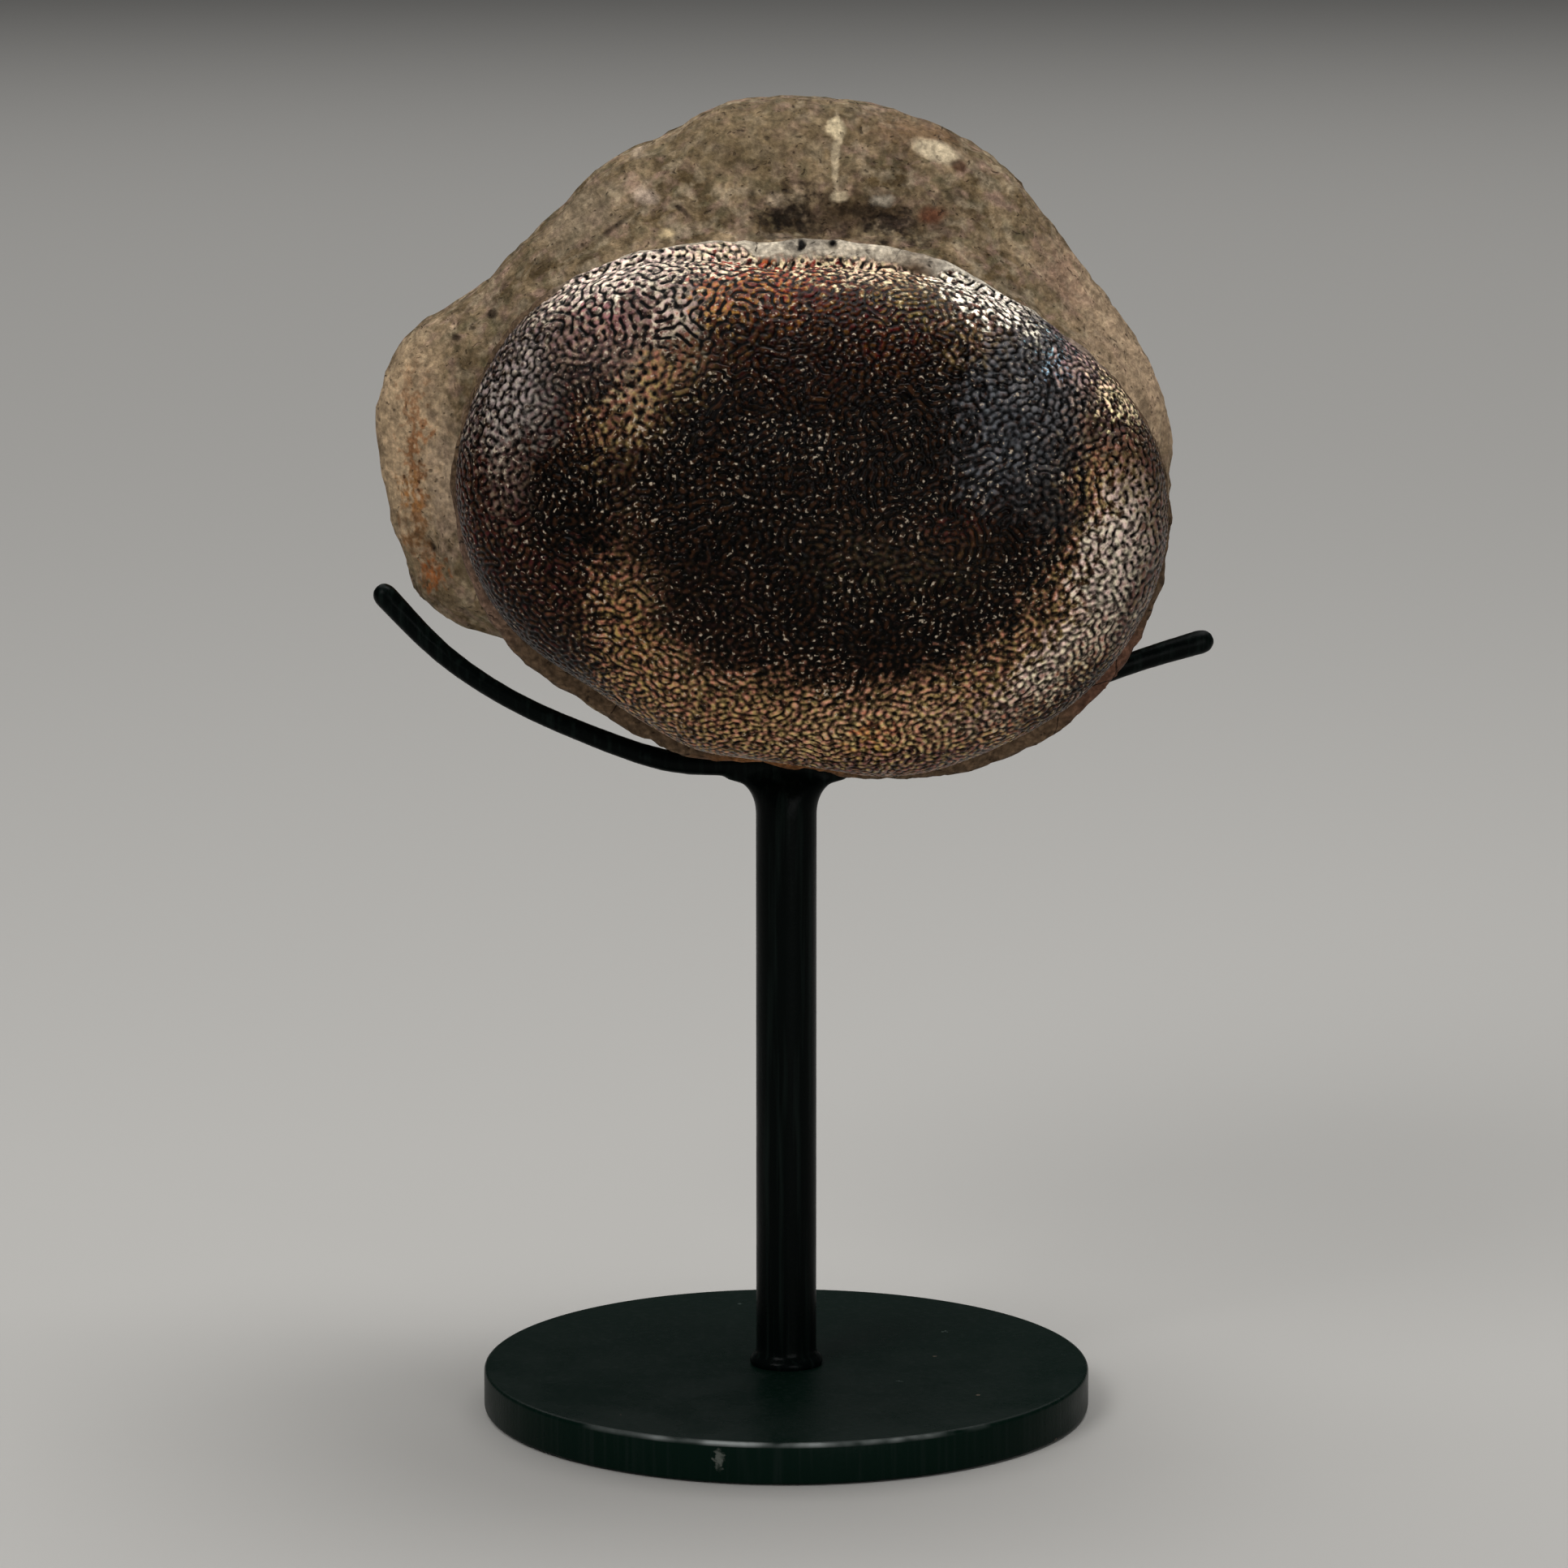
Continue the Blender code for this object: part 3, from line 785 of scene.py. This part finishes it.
@dataclass(frozen=True)
class FossilFinish:
    """Fossil bone: lacquered, mineral-filled cartilage on the joint faces, bare stone elsewhere.

    The eye gets small glossy granules between nearly black cracks on the faces, and dull,
    mottled taupe stone with fine grain on the body.

    Attributes:
        net, zones, sizes: Net of cracks, bounds of each finish, and the stone's grain.
        wander: Size of the noise that makes stains ragged, and its wide and its near reach.
        mingling: How far stains scatter from granule to granule on the face.
        dust_and_glints: Size of the painted glints on the face, and of the places where they
            crowd.
        relief, shine: Strength and depth of the fine relief, and the specular level.
        crack_colour, painted_glint_colour: Mineral in the cracks, and glints painted on the tops
            of granules.
        ember_colour: Glow that some granules add to their own colour.
        face_ground, lip_ground: Cartilage of the face and bone of its lip, under their patches.
        body_tones, body_tints: Two tones that mottle the stone, and tints over them.
        pore_colour, split_colour: Darker colour in the pores, and shade in the splits.
        face_stains_and_painted_light, body_patches, lip_stains_and_painted_light, cup_patches:
        Stains and bleached places, and on the face and its lip painted highlights and painted
        shade.
        body_crusts_and_painted_light, body_marks: Crumbling crusts, painted light on the lit
        edges and painted shade in the canal's mouth; vein, crumbs, splits and pits.
    """

    net: CrackNet = CrackNet()
    zones: BoneZones = BoneZones()
    sizes: StoneGrain = StoneGrain()
    wander: Triple = (3.5, 7.0, 1.6)
    mingling: float = 11.0
    dust_and_glints: tuple[float, float] = (0.5, 7.0)
    relief: tuple[float, float] = (0.9, 0.12)
    shine: float = 0.055
    crack_colour: str = "030201"
    ember_colour: str = "2e1a0d"
    painted_glint_colour: str = "d8c6ae"
    face_ground: str = "3a2c22"
    face_stains_and_painted_light: Patches = FACE_STAINS_AND_PAINTED_LIGHT
    body_tones: tuple[str, str] = ("57472f", "8b775c")
    body_tints: tuple[str, ...] = ("9c7f70", "645d45", "a8977d")
    body_patches: Patches = BODY_PATCHES
    body_crusts_and_painted_light: Patches = BODY_CRUSTS_AND_PAINTED_LIGHT
    body_marks: Patches = BODY_MARKS
    pore_colour: str = "2a2019"
    split_colour: str = "1f1711"
    lip_ground: str = "66523f"
    lip_stains_and_painted_light: Patches = LIP_STAINS_AND_PAINTED_LIGHT
    cup_patches: Patches = CUP_PATCHES

    def material(self) -> Material:
        """Build the material.

        Returns:
            The material.
        """
        material, add, place = start_material("lacquered_fossil_bone")
        size, far, near = self.wander
        wander = add("TexNoise", (place, 1 / size, 3.0))
        rough_place = shift_place(add, place, wander, far)
        near_place = shift_place(add, place, wander, near)
        stored = [add("Attribute", attribute_name=name) for name in ("chart", "worm")]
        chart, worm = [node.outputs["Vector"] for node in stored]
        net = self.net.nodes(add, chart, worm)
        mingled_place = shift_place(add, rough_place, net[2], self.mingling)
        # Stains of the face, with its painted highlights and painted shade
        stains_and_painted_light = paint_patches(add, mingled_place, self.face_ground, self.face_stains_and_painted_light)
        face_colour = self.face_colour(add, place, stains_and_painted_light, net)
        body_colour, body_height = self.body_look(add, place, rough_place, near_place)
        face = self.zones.face(add, near_place)
        colour = add("Mix", (face, body_colour, face_colour), "RGBA")
        grain = add("TexNoise", (place, 1 / self.sizes.gloss, 2.0))
        gloss_face = add("MapRange", (net[0], 0.0, 1.0, 0.3, 0.6))
        gloss_body = add("MapRange", (grain, 0.3, 0.7, 0.62, 0.82))
        roughness = add("Mix", (face, gloss_body, gloss_face))
        height = add("Mix", (face, body_height, net[1]))
        close_material(add, colour, roughness, height, self.relief, self.shine)
        return material

    def face_colour(
        self, add: Adder, place: Node, stains_and_painted_light: Node, net: tuple[Node, Node, Node],
    ) -> Node:
        """Add the colour of the joint face, with painted highlight and shade on its granules and
        painted glints on some of them.

        Args:
            add: Adds a node.
            place: Place in millimetres.
            stains_and_painted_light: Its stains, with the highlights and shade painted among
                them.
            net: The nodes of the net of cracks.

        Returns:
            Node that gives the colour.
        """
        line, rounded, tone = net
        chances = add("SeparateColor", (tone.outputs["Color"],)).outputs
        uneven = add("MapRange", (chances[0], 0.36, 0.64, 0.15, 1.85))
        # Painted highlight and shade: each granule is lighter at its top and darker at its edges
        shaded = add("MapRange", (rounded, 0.05, 0.85, 0.18, 1.32))
        value = add("Math", (uneven, shaded), "MULTIPLY")
        hue = add("MapRange", (chances[2], 0.36, 0.64, 0.462, 0.522))
        varied = add("HueSaturation", {"Color": stains_and_painted_light, "Hue": hue, "Value": value})
        glow = add("MapRange", (chances[1], 0.47, 0.62))
        glowing = add("Math", (glow, rounded), "MULTIPLY")
        warmed = add("Mix", (glowing, varied, self.ember_colour), "RGBA", blend_type="ADD")
        # Painted glints: bright cream specks on the tops of some granules stand in for highlights
        dust_and_glints, crowd = [add("TexNoise", (place, 1 / size, 1.0)) for size in self.dust_and_glints]
        crowded = add("Math", (crowd, 0.3, dust_and_glints), "MULTIPLY_ADD")
        painted_glint = add("MapRange", (crowded, 0.745, 0.92))
        peak = add("MapRange", (rounded, 0.5, 0.9, 0.0, 0.75), "SMOOTHSTEP")
        lit = add("Math", (painted_glint, peak), "MULTIPLY")
        with_painted_glints = add("Mix", (lit, warmed, self.painted_glint_colour), "RGBA")
        return add("Mix", (line, with_painted_glints, self.crack_colour), "RGBA")

    def body_look(
        self, add: Adder, place: Node, rough_place: Node, near_place: Node,
    ) -> tuple[Node, Node]:
        """Add the colour and the fine height of the body's bare stone.

        Args:
            add: Adds a node.
            place: Place in millimetres.
            rough_place: The same place, shifted so that stains get ragged edges.
            near_place: The same place, shifted less.

        Returns:
            Node that gives the colour, and node that gives the height.
        """
        sizes = self.sizes
        blotch = add("TexNoise", (place, 1 / sizes.blotch, 5.0, 0.65))
        tone = add("MapRange", (blotch, 0.38, 0.62))
        stone = add("Mix", (tone, *self.body_tones), "RGBA")
        tints = add("TexNoise", (near_place, 1 / sizes.tint, 3.0))
        chances = add("SeparateColor", (tints.outputs["Color"],)).outputs
        for chance, colour in zip(chances, self.body_tints):
            share = add("MapRange", (chance, 0.5, 0.68, 0.0, 0.6))
            stone = add("Mix", (share, stone, colour), "RGBA")
        crumb, scatter = sizes.crumb
        crumble = add("TexNoise", (place, 1 / crumb, 2.0))
        crumbly_place = shift_place(add, rough_place, crumble, scatter)
        body = paint_patches(add, rough_place, stone, self.body_patches)
        # Crusts, with painted light on the lit edges and painted shade in the canal's mouth
        body = paint_patches(add, crumbly_place, body, self.body_crusts_and_painted_light)
        body = paint_patches(add, near_place, body, self.body_marks)
        # The lip's stains, with a painted highlight along its top
        lip = paint_patches(add, near_place, self.lip_ground, self.lip_stains_and_painted_light)
        cup = paint_patches(add, rough_place, stone, self.cup_patches)
        lip_share = self.zones.lip(add, rough_place)
        cup_share = self.zones.hollow(add, near_place)
        lipped = add("Mix", (lip_share, body, lip), "RGBA")
        whole = add("Mix", (cup_share, lipped, cup), "RGBA")
        # Painted highlight and shade: each granule of the lip and the hollow face is lighter in
        # its middle and darker at its edges
        granules = add("TexVoronoi", (near_place, 1 / sizes.granule))
        granule = add("MapRange", (granules, 0.25, 0.75, 1.1, 0.68))
        granular = add("Math", (lip_share, cup_share), "MAXIMUM")
        granule_shade = add("Mix", (granular, 1.0, granule))
        pores = add("TexVoronoi", (rough_place, 1 / sizes.pore))
        pore = add("MapRange", (pores, 0.22, 0.08, 0.0, 0.6), "SMOOTHSTEP")
        specked = add("Mix", (pore, whole, self.pore_colour), "RGBA")
        turn = {"Vector": place, "Angle": math.radians(sizes.streak_turn)}
        turned = add("VectorRotate", turn, "Y_AXIS")
        streak_place = add("VectorMath", (turned, sizes.streak), "MULTIPLY")
        streak = add("TexNoise", (streak_place, 1.0, 3.0))
        grain = add("TexNoise", (place, 1 / sizes.grain, 4.0, 0.65))
        fibre_place = add("VectorMath", (near_place, sizes.fibre), "MULTIPLY")
        fibre = add("TexNoise", (fibre_place, 1.0, 2.0))
        value = granule_shade
        for pattern, low, high, dark, light in (
            (streak, 0.3, 0.7, 0.78, 1.22), (grain, 0.3, 0.7, 0.68, 1.32),
            (fibre, 0.35, 0.65, 0.7, 1.2), (blotch, 0.38, 0.62, 0.93, 1.05),
        ):
            shade = add("MapRange", (pattern, low, high, dark, light))
            value = add("Math", (value, shade), "MULTIPLY")
        grainy = add("HueSaturation", {"Color": specked, "Value": value})
        split = self.splits(add, place, near_place, blotch)
        colour = add("Mix", (split, grainy, self.split_colour), "RGBA")
        height = tints
        for pattern, rise in (
            (grain, 2.2), (fibre, 1.4), (pore, -2.5), (granule_shade, 2.0), (split, -3.0),
        ):
            height = add("Math", (pattern, rise, height), "MULTIPLY_ADD")
        return colour, height

    def splits(self, add: Adder, place: Node, near_place: Node, blotch: Node) -> Node:
        """Add the splits along the waist.

        Args:
            add: Adds a node.
            place: Place in millimetres.
            near_place: The same place, shifted a little.
            blotch: Noise that opens the splits here and closes them there.

        Returns:
            Node that says how much of a split a place is.
        """
        split_place = add("VectorMath", (near_place, self.sizes.split), "MULTIPLY")
        edges = add("TexVoronoi", (split_place, 1.0), feature="DISTANCE_TO_EDGE")
        width = add("MapRange", (blotch, 0.47, 0.6, 0.001, 0.02))
        along = add("SeparateXYZ", (place,)).outputs[1]
        flare = add("Math", (along, *self.sizes.flare), "COMPARE")
        most = add("MapRange", (flare, 0.0, 1.0, 0.8, 0.0))
        return add("MapRange", (edges, width, 0.0, 0.0, most), "SMOOTHSTEP")


@dataclass
class Vertebra:
    """The fossil bone in one piece, with its joint face carved into a fine net.

    Attributes:
        finish, sheet: The bone's finish, and the grown relief of its joint face.
        voxel: Size of the even faces that its skin is remade with.
        fine_cuts, fine_end: Cuts that split each of those faces, up to this Y.
        axis: Axis of the body.
        unroll: How much longer the way over the dome is than its depth adds in a straight line.
        unroll_end: Y up to which the joint face is unrolled.
        net_depth: Depth of the cracks.
        lump_size, lump_depth: Lumps of the worn body, and the hollows between them.
        pits: Pits, with their depths as strengths.
    """

    finish: FossilFinish = FossilFinish()
    sheet: GrownSheet = GrownSheet()
    voxel: float = 1.5
    fine_cuts: int = 3
    fine_end: float = -18.6
    axis: Triple = (3.3, 0.0, 122.6)
    unroll: float = 1.21
    unroll_end: float = -15.6
    net_depth: float = 0.14
    lump_size: float = 4.5
    lump_depth: float = 0.7
    pits: Patches = PITS

    def build(self) -> None:
        """Model, carve and dress the bone."""
        guide = copy_of_node("vertebra", "vertebra_guide")
        apply_modifier(guide, "SUBSURF", levels=3, render_levels=3)
        bone = guide.copy()
        bone.data = guide.data.copy()
        bone.name = "fossil_vertebra"
        bpy.context.scene.collection.objects.link(bone)
        apply_modifier(bone, "REMESH", mode="VOXEL", voxel_size=self.voxel * MM)
        select_faces(bone, lambda centres: centres[:, 1] < self.fine_end)
        select_only(bone)
        bpy.ops.object.mode_set(mode="EDIT")
        bpy.ops.mesh.subdivide(number_cuts=self.fine_cuts, ngon=False)
        bpy.ops.object.mode_set(mode="OBJECT")
        apply_modifier(bone, "SHRINKWRAP", target=guide, wrap_method="NEAREST_SURFACEPOINT")
        bpy.data.objects.remove(guide, do_unlink=True)
        self.mark(bone)
        self.carve(bone)
        select_only(bone)
        bpy.ops.object.shade_smooth()
        finish_piece(bone, self.finish.material(), Slot.BONE, "vertebra")

    def mark(self, bone: Item) -> None:
        """Store the unrolled joint face and the grown cracks on the mesh.

        Args:
            bone: The bone's object.
        """
        places = np.empty(len(bone.data.vertices) * 3, np.float32)
        bone.data.vertices.foreach_get("co", places)
        places = places.reshape(-1, 3).astype(float) * PER_MM
        away = places - np.array(self.axis)
        radius = np.hypot(away[:, 0], away[:, 2])
        drop = places[:, 1] - places[:, 1].min()
        over_dome = np.hypot(radius, self.unroll * drop) / np.maximum(radius, 0.1)
        stretch = np.where(places[:, 1] < self.unroll_end, over_dome, 1.0)
        chart = np.stack([away[:, 0] * stretch, away[:, 2] * stretch], axis=1)
        grown, share = self.sheet.sample(chart)
        grown[:, 0] -= 0.5 * (grown[:, 1] * chart[:, 0] + grown[:, 2] * chart[:, 1])
        for name, rows in (("chart", np.column_stack([chart, share])), ("worm", grown)):
            layer = bone.data.attributes.new(name, "FLOAT_VECTOR", "POINT")
            layer.data.foreach_set("vector", rows.astype(np.float32).ravel())

    def carve(self, bone: Item) -> None:
        """Cut the net, the wear and the pits into the mesh, always inwards.

        Args:
            bone: The bone's object.
        """
        tree = bpy.data.node_groups.new("bone_carving", "GeometryNodeTree")
        for way in ("INPUT", "OUTPUT"):
            tree.interface.new_socket("Geometry", in_out=way, socket_type="NodeSocketGeometry")
        add = partial(add_node, tree)
        way_in = add("NodeGroupInput")
        position = add("GeometryNodeInputPosition")
        place = add("VectorMath", (position, PER_MM), "SCALE")
        chart, worm = [
            add("GeometryNodeInputNamedAttribute", (name,), data_type="FLOAT_VECTOR").outputs[0]
            for name in ("chart", "worm")
        ]
        _, rounded, _ = self.finish.net.nodes(add, chart, worm)
        face = self.finish.zones.face(add, place)
        cut = add("Math", (1.0, rounded), "SUBTRACT")
        net_depth = add("Math", (cut, self.net_depth), "MULTIPLY")
        face_depth = add("Math", (net_depth, face), "MULTIPLY")
        lumps = add("TexNoise", (place, 1 / self.lump_size, 3.0, 0.55))
        lump_depth = add("MapRange", (lumps, 0.65, 0.3, 0.0, self.lump_depth))
        bare = add("Math", (1.0, face), "SUBTRACT")
        depth = add("Math", (lump_depth, bare), "MULTIPLY")
        for part in (face_depth, *[pit.mask(add, place) for pit in self.pits]):
            depth = add("Math", (depth, part), "ADD")
        inward = add("Math", (depth, -MM), "MULTIPLY")
        normal = add("GeometryNodeInputNormal")
        offset = add("VectorMath", (normal, inward), "SCALE")
        moved = add("GeometryNodeSetPosition", {"Geometry": way_in, "Offset": offset})
        add("NodeGroupOutput", (moved,))
        apply_modifier(bone, "NODES", node_group=tree)
        bpy.data.node_groups.remove(tree)


@dataclass(frozen=True)
class BlackPaint:
    """Satin black enamel sprayed on steel.

    The eye gets a nearly black skin with a green cast, a soft gloss and a fine grain.

    Attributes:
        name: The material's name.
        colour, roughness: The paint, and its least and greatest roughness.
        relief, shine: Strength and depth of the fine relief, and the specular level.
        grain: Sprayed grain, drawn coarser than the real 0.1 mm so that it shows.
        cloud: Size of the places that differ in gloss.
        streak: Width of its streaks, which run up and down.
        dust_and_glints: Distance from one speck of dust to the next.
        streak_colour, dust_colour, edge_highlight_colour: Dulled paint, dust, and the painted
        highlight on the edge, as bright rubbed steel.
        marks, ragged: Larger dust and chips, and how far the grain shifts their edges.
        highlight_edge: Radius and height of an edge that gets a painted highlight, bright in
            front.
        highlight_width, highlight_front: How far from it that fades out, and Y where it starts
            and is full.
    """

    name: str
    colour: str = "040807"
    roughness: tuple[float, float] = (0.24, 0.38)
    relief: tuple[float, float] = (0.35, 0.06)
    shine: float = 0.035
    grain: float = 0.5
    cloud: float = 9.0
    streak: float = 0.9
    dust_and_glints: float = 5.0
    streak_colour: str = "1b2421"
    dust_colour: str = "5d5347"
    edge_highlight_colour: str = "a9aeac"
    marks: Patches = ()
    ragged: float = 2.0
    highlight_edge: tuple[float, float] | None = None
    highlight_width: float = 0.5
    highlight_front: tuple[float, float] = (-30.0, -38.5)

    def paint_edge_highlight(self, add: Adder, place: Node, cloud: Node, colour: Node) -> Node:
        """Paint a highlight along the edge, as bright rubbed steel, strongest in front.

        Args:
            add: Adds a node.
            place: Place in millimetres.
            cloud: Noise that breaks the highlight up.
            colour: The paint before the highlight.

        Returns:
            Node that gives the colour with the painted highlight.
        """
        _, along, high = add("SeparateXYZ", (place,)).outputs
        level = add("VectorMath", (place, (1.0, 1.0, 0.0)), "MULTIPLY")
        radius = add("VectorMath", (level,), "LENGTH")
        section = add("CombineXYZ", (radius, high))
        away = add("VectorMath", (section, (*self.highlight_edge, 0.0)), "DISTANCE")
        share = add("MapRange", (away, self.highlight_width, 0.1, 0.0, 0.75))
        for limits in ((along, *self.highlight_front), (cloud, 0.4, 0.6)):
            share = add("Math", (share, add("MapRange", limits)), "MULTIPLY")
        return add("Mix", (share, colour, self.edge_highlight_colour), "RGBA")

    def material(self) -> Material:
        """Build the material.

        Returns:
            The material.
        """
        material, add, place = start_material(self.name)
        grain = add("TexNoise", (place, 1 / self.grain, 2.0))
        cloud = add("TexNoise", (place, 1 / self.cloud, 3.0))
        gloss = add("MapRange", (cloud, 0.35, 0.65, *self.roughness))
        specks = add("TexVoronoi", (place, 1 / self.dust_and_glints))
        chance = add("SeparateColor", (specks.outputs["Color"],)).outputs[0]
        size = add("MapRange", (chance, 0.5, 1.0, 0.0, 0.06))
        speck = add("Math", (specks, size), "LESS_THAN")
        dusty = add("Mix", (speck, self.colour, self.dust_colour), "RGBA")
        streak_place = add("VectorMath", (place, (1.0, 1.0, 0.04)), "MULTIPLY")
        streak = add("TexNoise", (streak_place, 1 / self.streak, 2.0))
        dull = add("MapRange", (streak, 0.5, 0.7, 0.0, 0.4))
        paint = add("Mix", (dull, dusty, self.streak_colour), "RGBA")
        mark_place = shift_place(add, place, grain, self.ragged)
        paint = paint_patches(add, mark_place, paint, self.marks)
        # Painted highlight along the plate's top edge
        if self.highlight_edge:
            paint = self.paint_edge_highlight(add, place, cloud, paint)
        close_material(add, paint, gloss, grain, self.relief, self.shine)
        return material


@dataclass
class StandFrame:
    """Post and bent cradle rod, welded together and to the plate.

    Attributes:
        finish: The paint.
        voxel: Size of the even faces that its skin is remade with.
        weld_centre, weld_reach: Weld between post and cradle, and its half widths.
        bead_radius, bead_thickness, bead_z: Weld bead around the foot of the post.
        smoothing: Passes that melt the welds into the rods.
    """

    finish: BlackPaint
    voxel: float = 0.33
    weld_centre: Triple = (0.0, 0.0, 84.3)
    weld_reach: Triple = (8.2, 1.9, 1.3)
    bead_radius: float = 4.15
    bead_thickness: float = 0.8
    bead_z: float = 5.95
    smoothing: int = 14

    def build(self) -> None:
        """Model and dress the frame."""
        post = copy_of_node("post", "stand_frame")
        cradle = copy_of_node("cradle", "cradle_copy")
        bpy.ops.object.select_all(action="DESELECT")
        bpy.ops.mesh.primitive_uv_sphere_add(
            segments=32, ring_count=16, radius=MM,
            location=[value * MM for value in self.weld_centre], scale=self.weld_reach,
        )
        weld = bpy.context.active_object
        bpy.ops.mesh.primitive_torus_add(
            major_radius=self.bead_radius * MM, minor_radius=self.bead_thickness * MM,
            major_segments=48, minor_segments=16, location=(0, 0, self.bead_z * MM),
        )
        bead = bpy.context.active_object
        select_only(weld, bead)
        bpy.ops.object.transform_apply(location=True, rotation=True, scale=True)
        select_only(post, cradle, weld, bead)
        bpy.ops.object.join()
        apply_modifier(post, "REMESH", mode="VOXEL", voxel_size=self.voxel * MM)
        apply_modifier(post, "SMOOTH", factor=0.5, iterations=self.smoothing)
        select_only(post)
        bpy.ops.object.shade_smooth()
        finish_piece(post, self.finish.material(), Slot.PAINT, "post", "cradle")


@dataclass
class BasePlate:
    """Round steel plate with a softly broken edge.

    Attributes:
        finish: The paint.
        sides: Sides of the disc.
        edge, edge_steps: Radius of its broken edge, and faces across it.
        smooth_angle: Angle in degrees up to which faces are shaded as one.
    """

    finish: BlackPaint
    sides: int = 256
    edge: float = 0.6
    edge_steps: int = 5
    smooth_angle: float = 30.0

    def build(self) -> None:
        """Model and dress the plate."""
        low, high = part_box("base_disc")
        depth = high.z - low.z
        bpy.ops.object.select_all(action="DESELECT")
        bpy.ops.mesh.primitive_cylinder_add(
            vertices=self.sides, radius=(high.x - low.x) / 2, depth=depth,
            location=(0, 0, depth / 2),
        )
        plate = bpy.context.active_object
        plate.name = "base_plate"
        bpy.ops.object.transform_apply(location=True, rotation=True, scale=True)
        # The two round faces have their centres on the axis
        select_faces(plate, lambda centres: np.hypot(centres[:, 0], centres[:, 1]) < self.edge)
        bpy.ops.object.mode_set(mode="EDIT")
        bpy.ops.mesh.bevel(offset=self.edge * MM, segments=self.edge_steps, affect="EDGES")
        bpy.ops.object.mode_set(mode="OBJECT")
        bpy.ops.object.shade_smooth_by_angle(angle=math.radians(self.smooth_angle))
        finish_piece(plate, self.finish.material(), Slot.PAINT, "base_disc")


@dataclass(frozen=True)
class SoftLight:
    """A square studio light that points at the object.

    Attributes:
        name: Its name.
        place, size: Where it hangs and how wide it is, in metres.
        power: Its power in watts.
    """

    name: str
    place: Triple
    size: float
    power: float

    def hang(self, target: Triple) -> None:
        """Hang the light and turn it to the target.

        Args:
            target: Where it points, in metres.
        """
        bpy.ops.object.light_add(type="AREA", location=self.place)
        lamp = bpy.context.active_object
        lamp.name = self.name
        lamp.data.shape = "SQUARE"
        lamp.data.size = self.size
        lamp.data.energy = self.power
        across, deep, up = [end - start for start, end in zip(self.place, target)]
        level = math.hypot(across, deep)
        lamp.rotation_euler = (math.atan2(level, -up), 0.0, math.atan2(-across, deep))


@dataclass
class Studio:
    """Pale floor, soft lights and the camera at the photo's place, in metres and degrees.

    Attributes:
        lights, target: The lights, and where they point.
        floor_colour, floor_size, floor_drop: The floor, and how far it lies under the plate.
        surround, surround_strength: Light of the room.
        camera_place, camera_dip: Where the camera stands, and how far it looks down.
        lens, sensor: Its focal length and its sensor's width, in millimetres.
    """

    lights: tuple[SoftLight, ...]
    target: Triple = (0.0, 0.0, 0.11)
    floor_colour: str = "b9b7b3"
    floor_size: float = 14.0
    floor_drop: float = 0.0001
    surround: str = "e9ecef"
    surround_strength: float = 0.05
    camera_place: Triple = (-0.0003, -0.840, 0.2279)
    camera_dip: float = 9.77
    lens: float = 150.0
    sensor: float = 36.0

    def set_camera(self) -> None:
        """Add the camera."""
        turn = (math.radians(90 - self.camera_dip), 0.0, 0.0)
        bpy.ops.object.camera_add(location=self.camera_place, rotation=turn)
        camera = bpy.context.active_object
        camera.name = "photo_camera"
        camera.data.lens = self.lens
        camera.data.sensor_width = self.sensor
        bpy.context.scene.camera = camera

    def build(self) -> None:
        """Lay the floor and hang the lights."""
        bpy.ops.object.select_all(action="DESELECT")
        bpy.ops.mesh.primitive_plane_add(size=self.floor_size, location=(0, 0, -self.floor_drop))
        floor = bpy.context.active_object
        floor.name = "studio_floor"
        material = bpy.data.materials.new("matt_pale_floor")
        material.use_nodes = True
        inputs = material.node_tree.nodes["Principled BSDF"].inputs
        inputs["Base Color"].default_value = linear(self.floor_colour)
        inputs["Roughness"].default_value = 1.0
        inputs["Specular IOR Level"].default_value = 0.0
        floor.data.materials.append(material)
        for light in self.lights:
            light.hang(self.target)
        world = bpy.data.worlds.new("studio_room")
        world.use_nodes = True
        inputs = world.node_tree.nodes["Background"].inputs
        inputs["Color"].default_value = linear(self.surround)
        inputs["Strength"].default_value = self.surround_strength
        bpy.context.scene.world = world
        bpy.context.scene.view_settings.view_transform = "Standard"


LIGHTS = (
    SoftLight("overhead_panel", (0, 1.2, 2.6), 3.6, 60),
    SoftLight("key_softbox", (-0.55, -0.75, 0.85), 0.5, 5),
    SoftLight("top_softbox", (0.15, 0.1, 0.9), 0.4, 2.5),
    SoftLight("front_softbox", (0.45, -1.1, 0.3), 0.6, 3.5),
)


def main() -> None:
    """Set the studio, build every piece and report each one."""
    studio = Studio(LIGHTS)
    studio.set_camera()
    Vertebra().build()
    StandFrame(BlackPaint("satin_black_enamel_on_rod")).build()
    # The plate's paint gets a painted highlight along the front of its top edge
    BasePlate(BlackPaint(
        "satin_black_enamel_on_plate", "071812", marks=PLATE_MARKS, highlight_edge=(39.8, 5.3),
    )).build()
    studio.build()


if __name__ == "__main__":
    logging.basicConfig(level=logging.INFO, format="%(name)s: %(message)s")
    main()
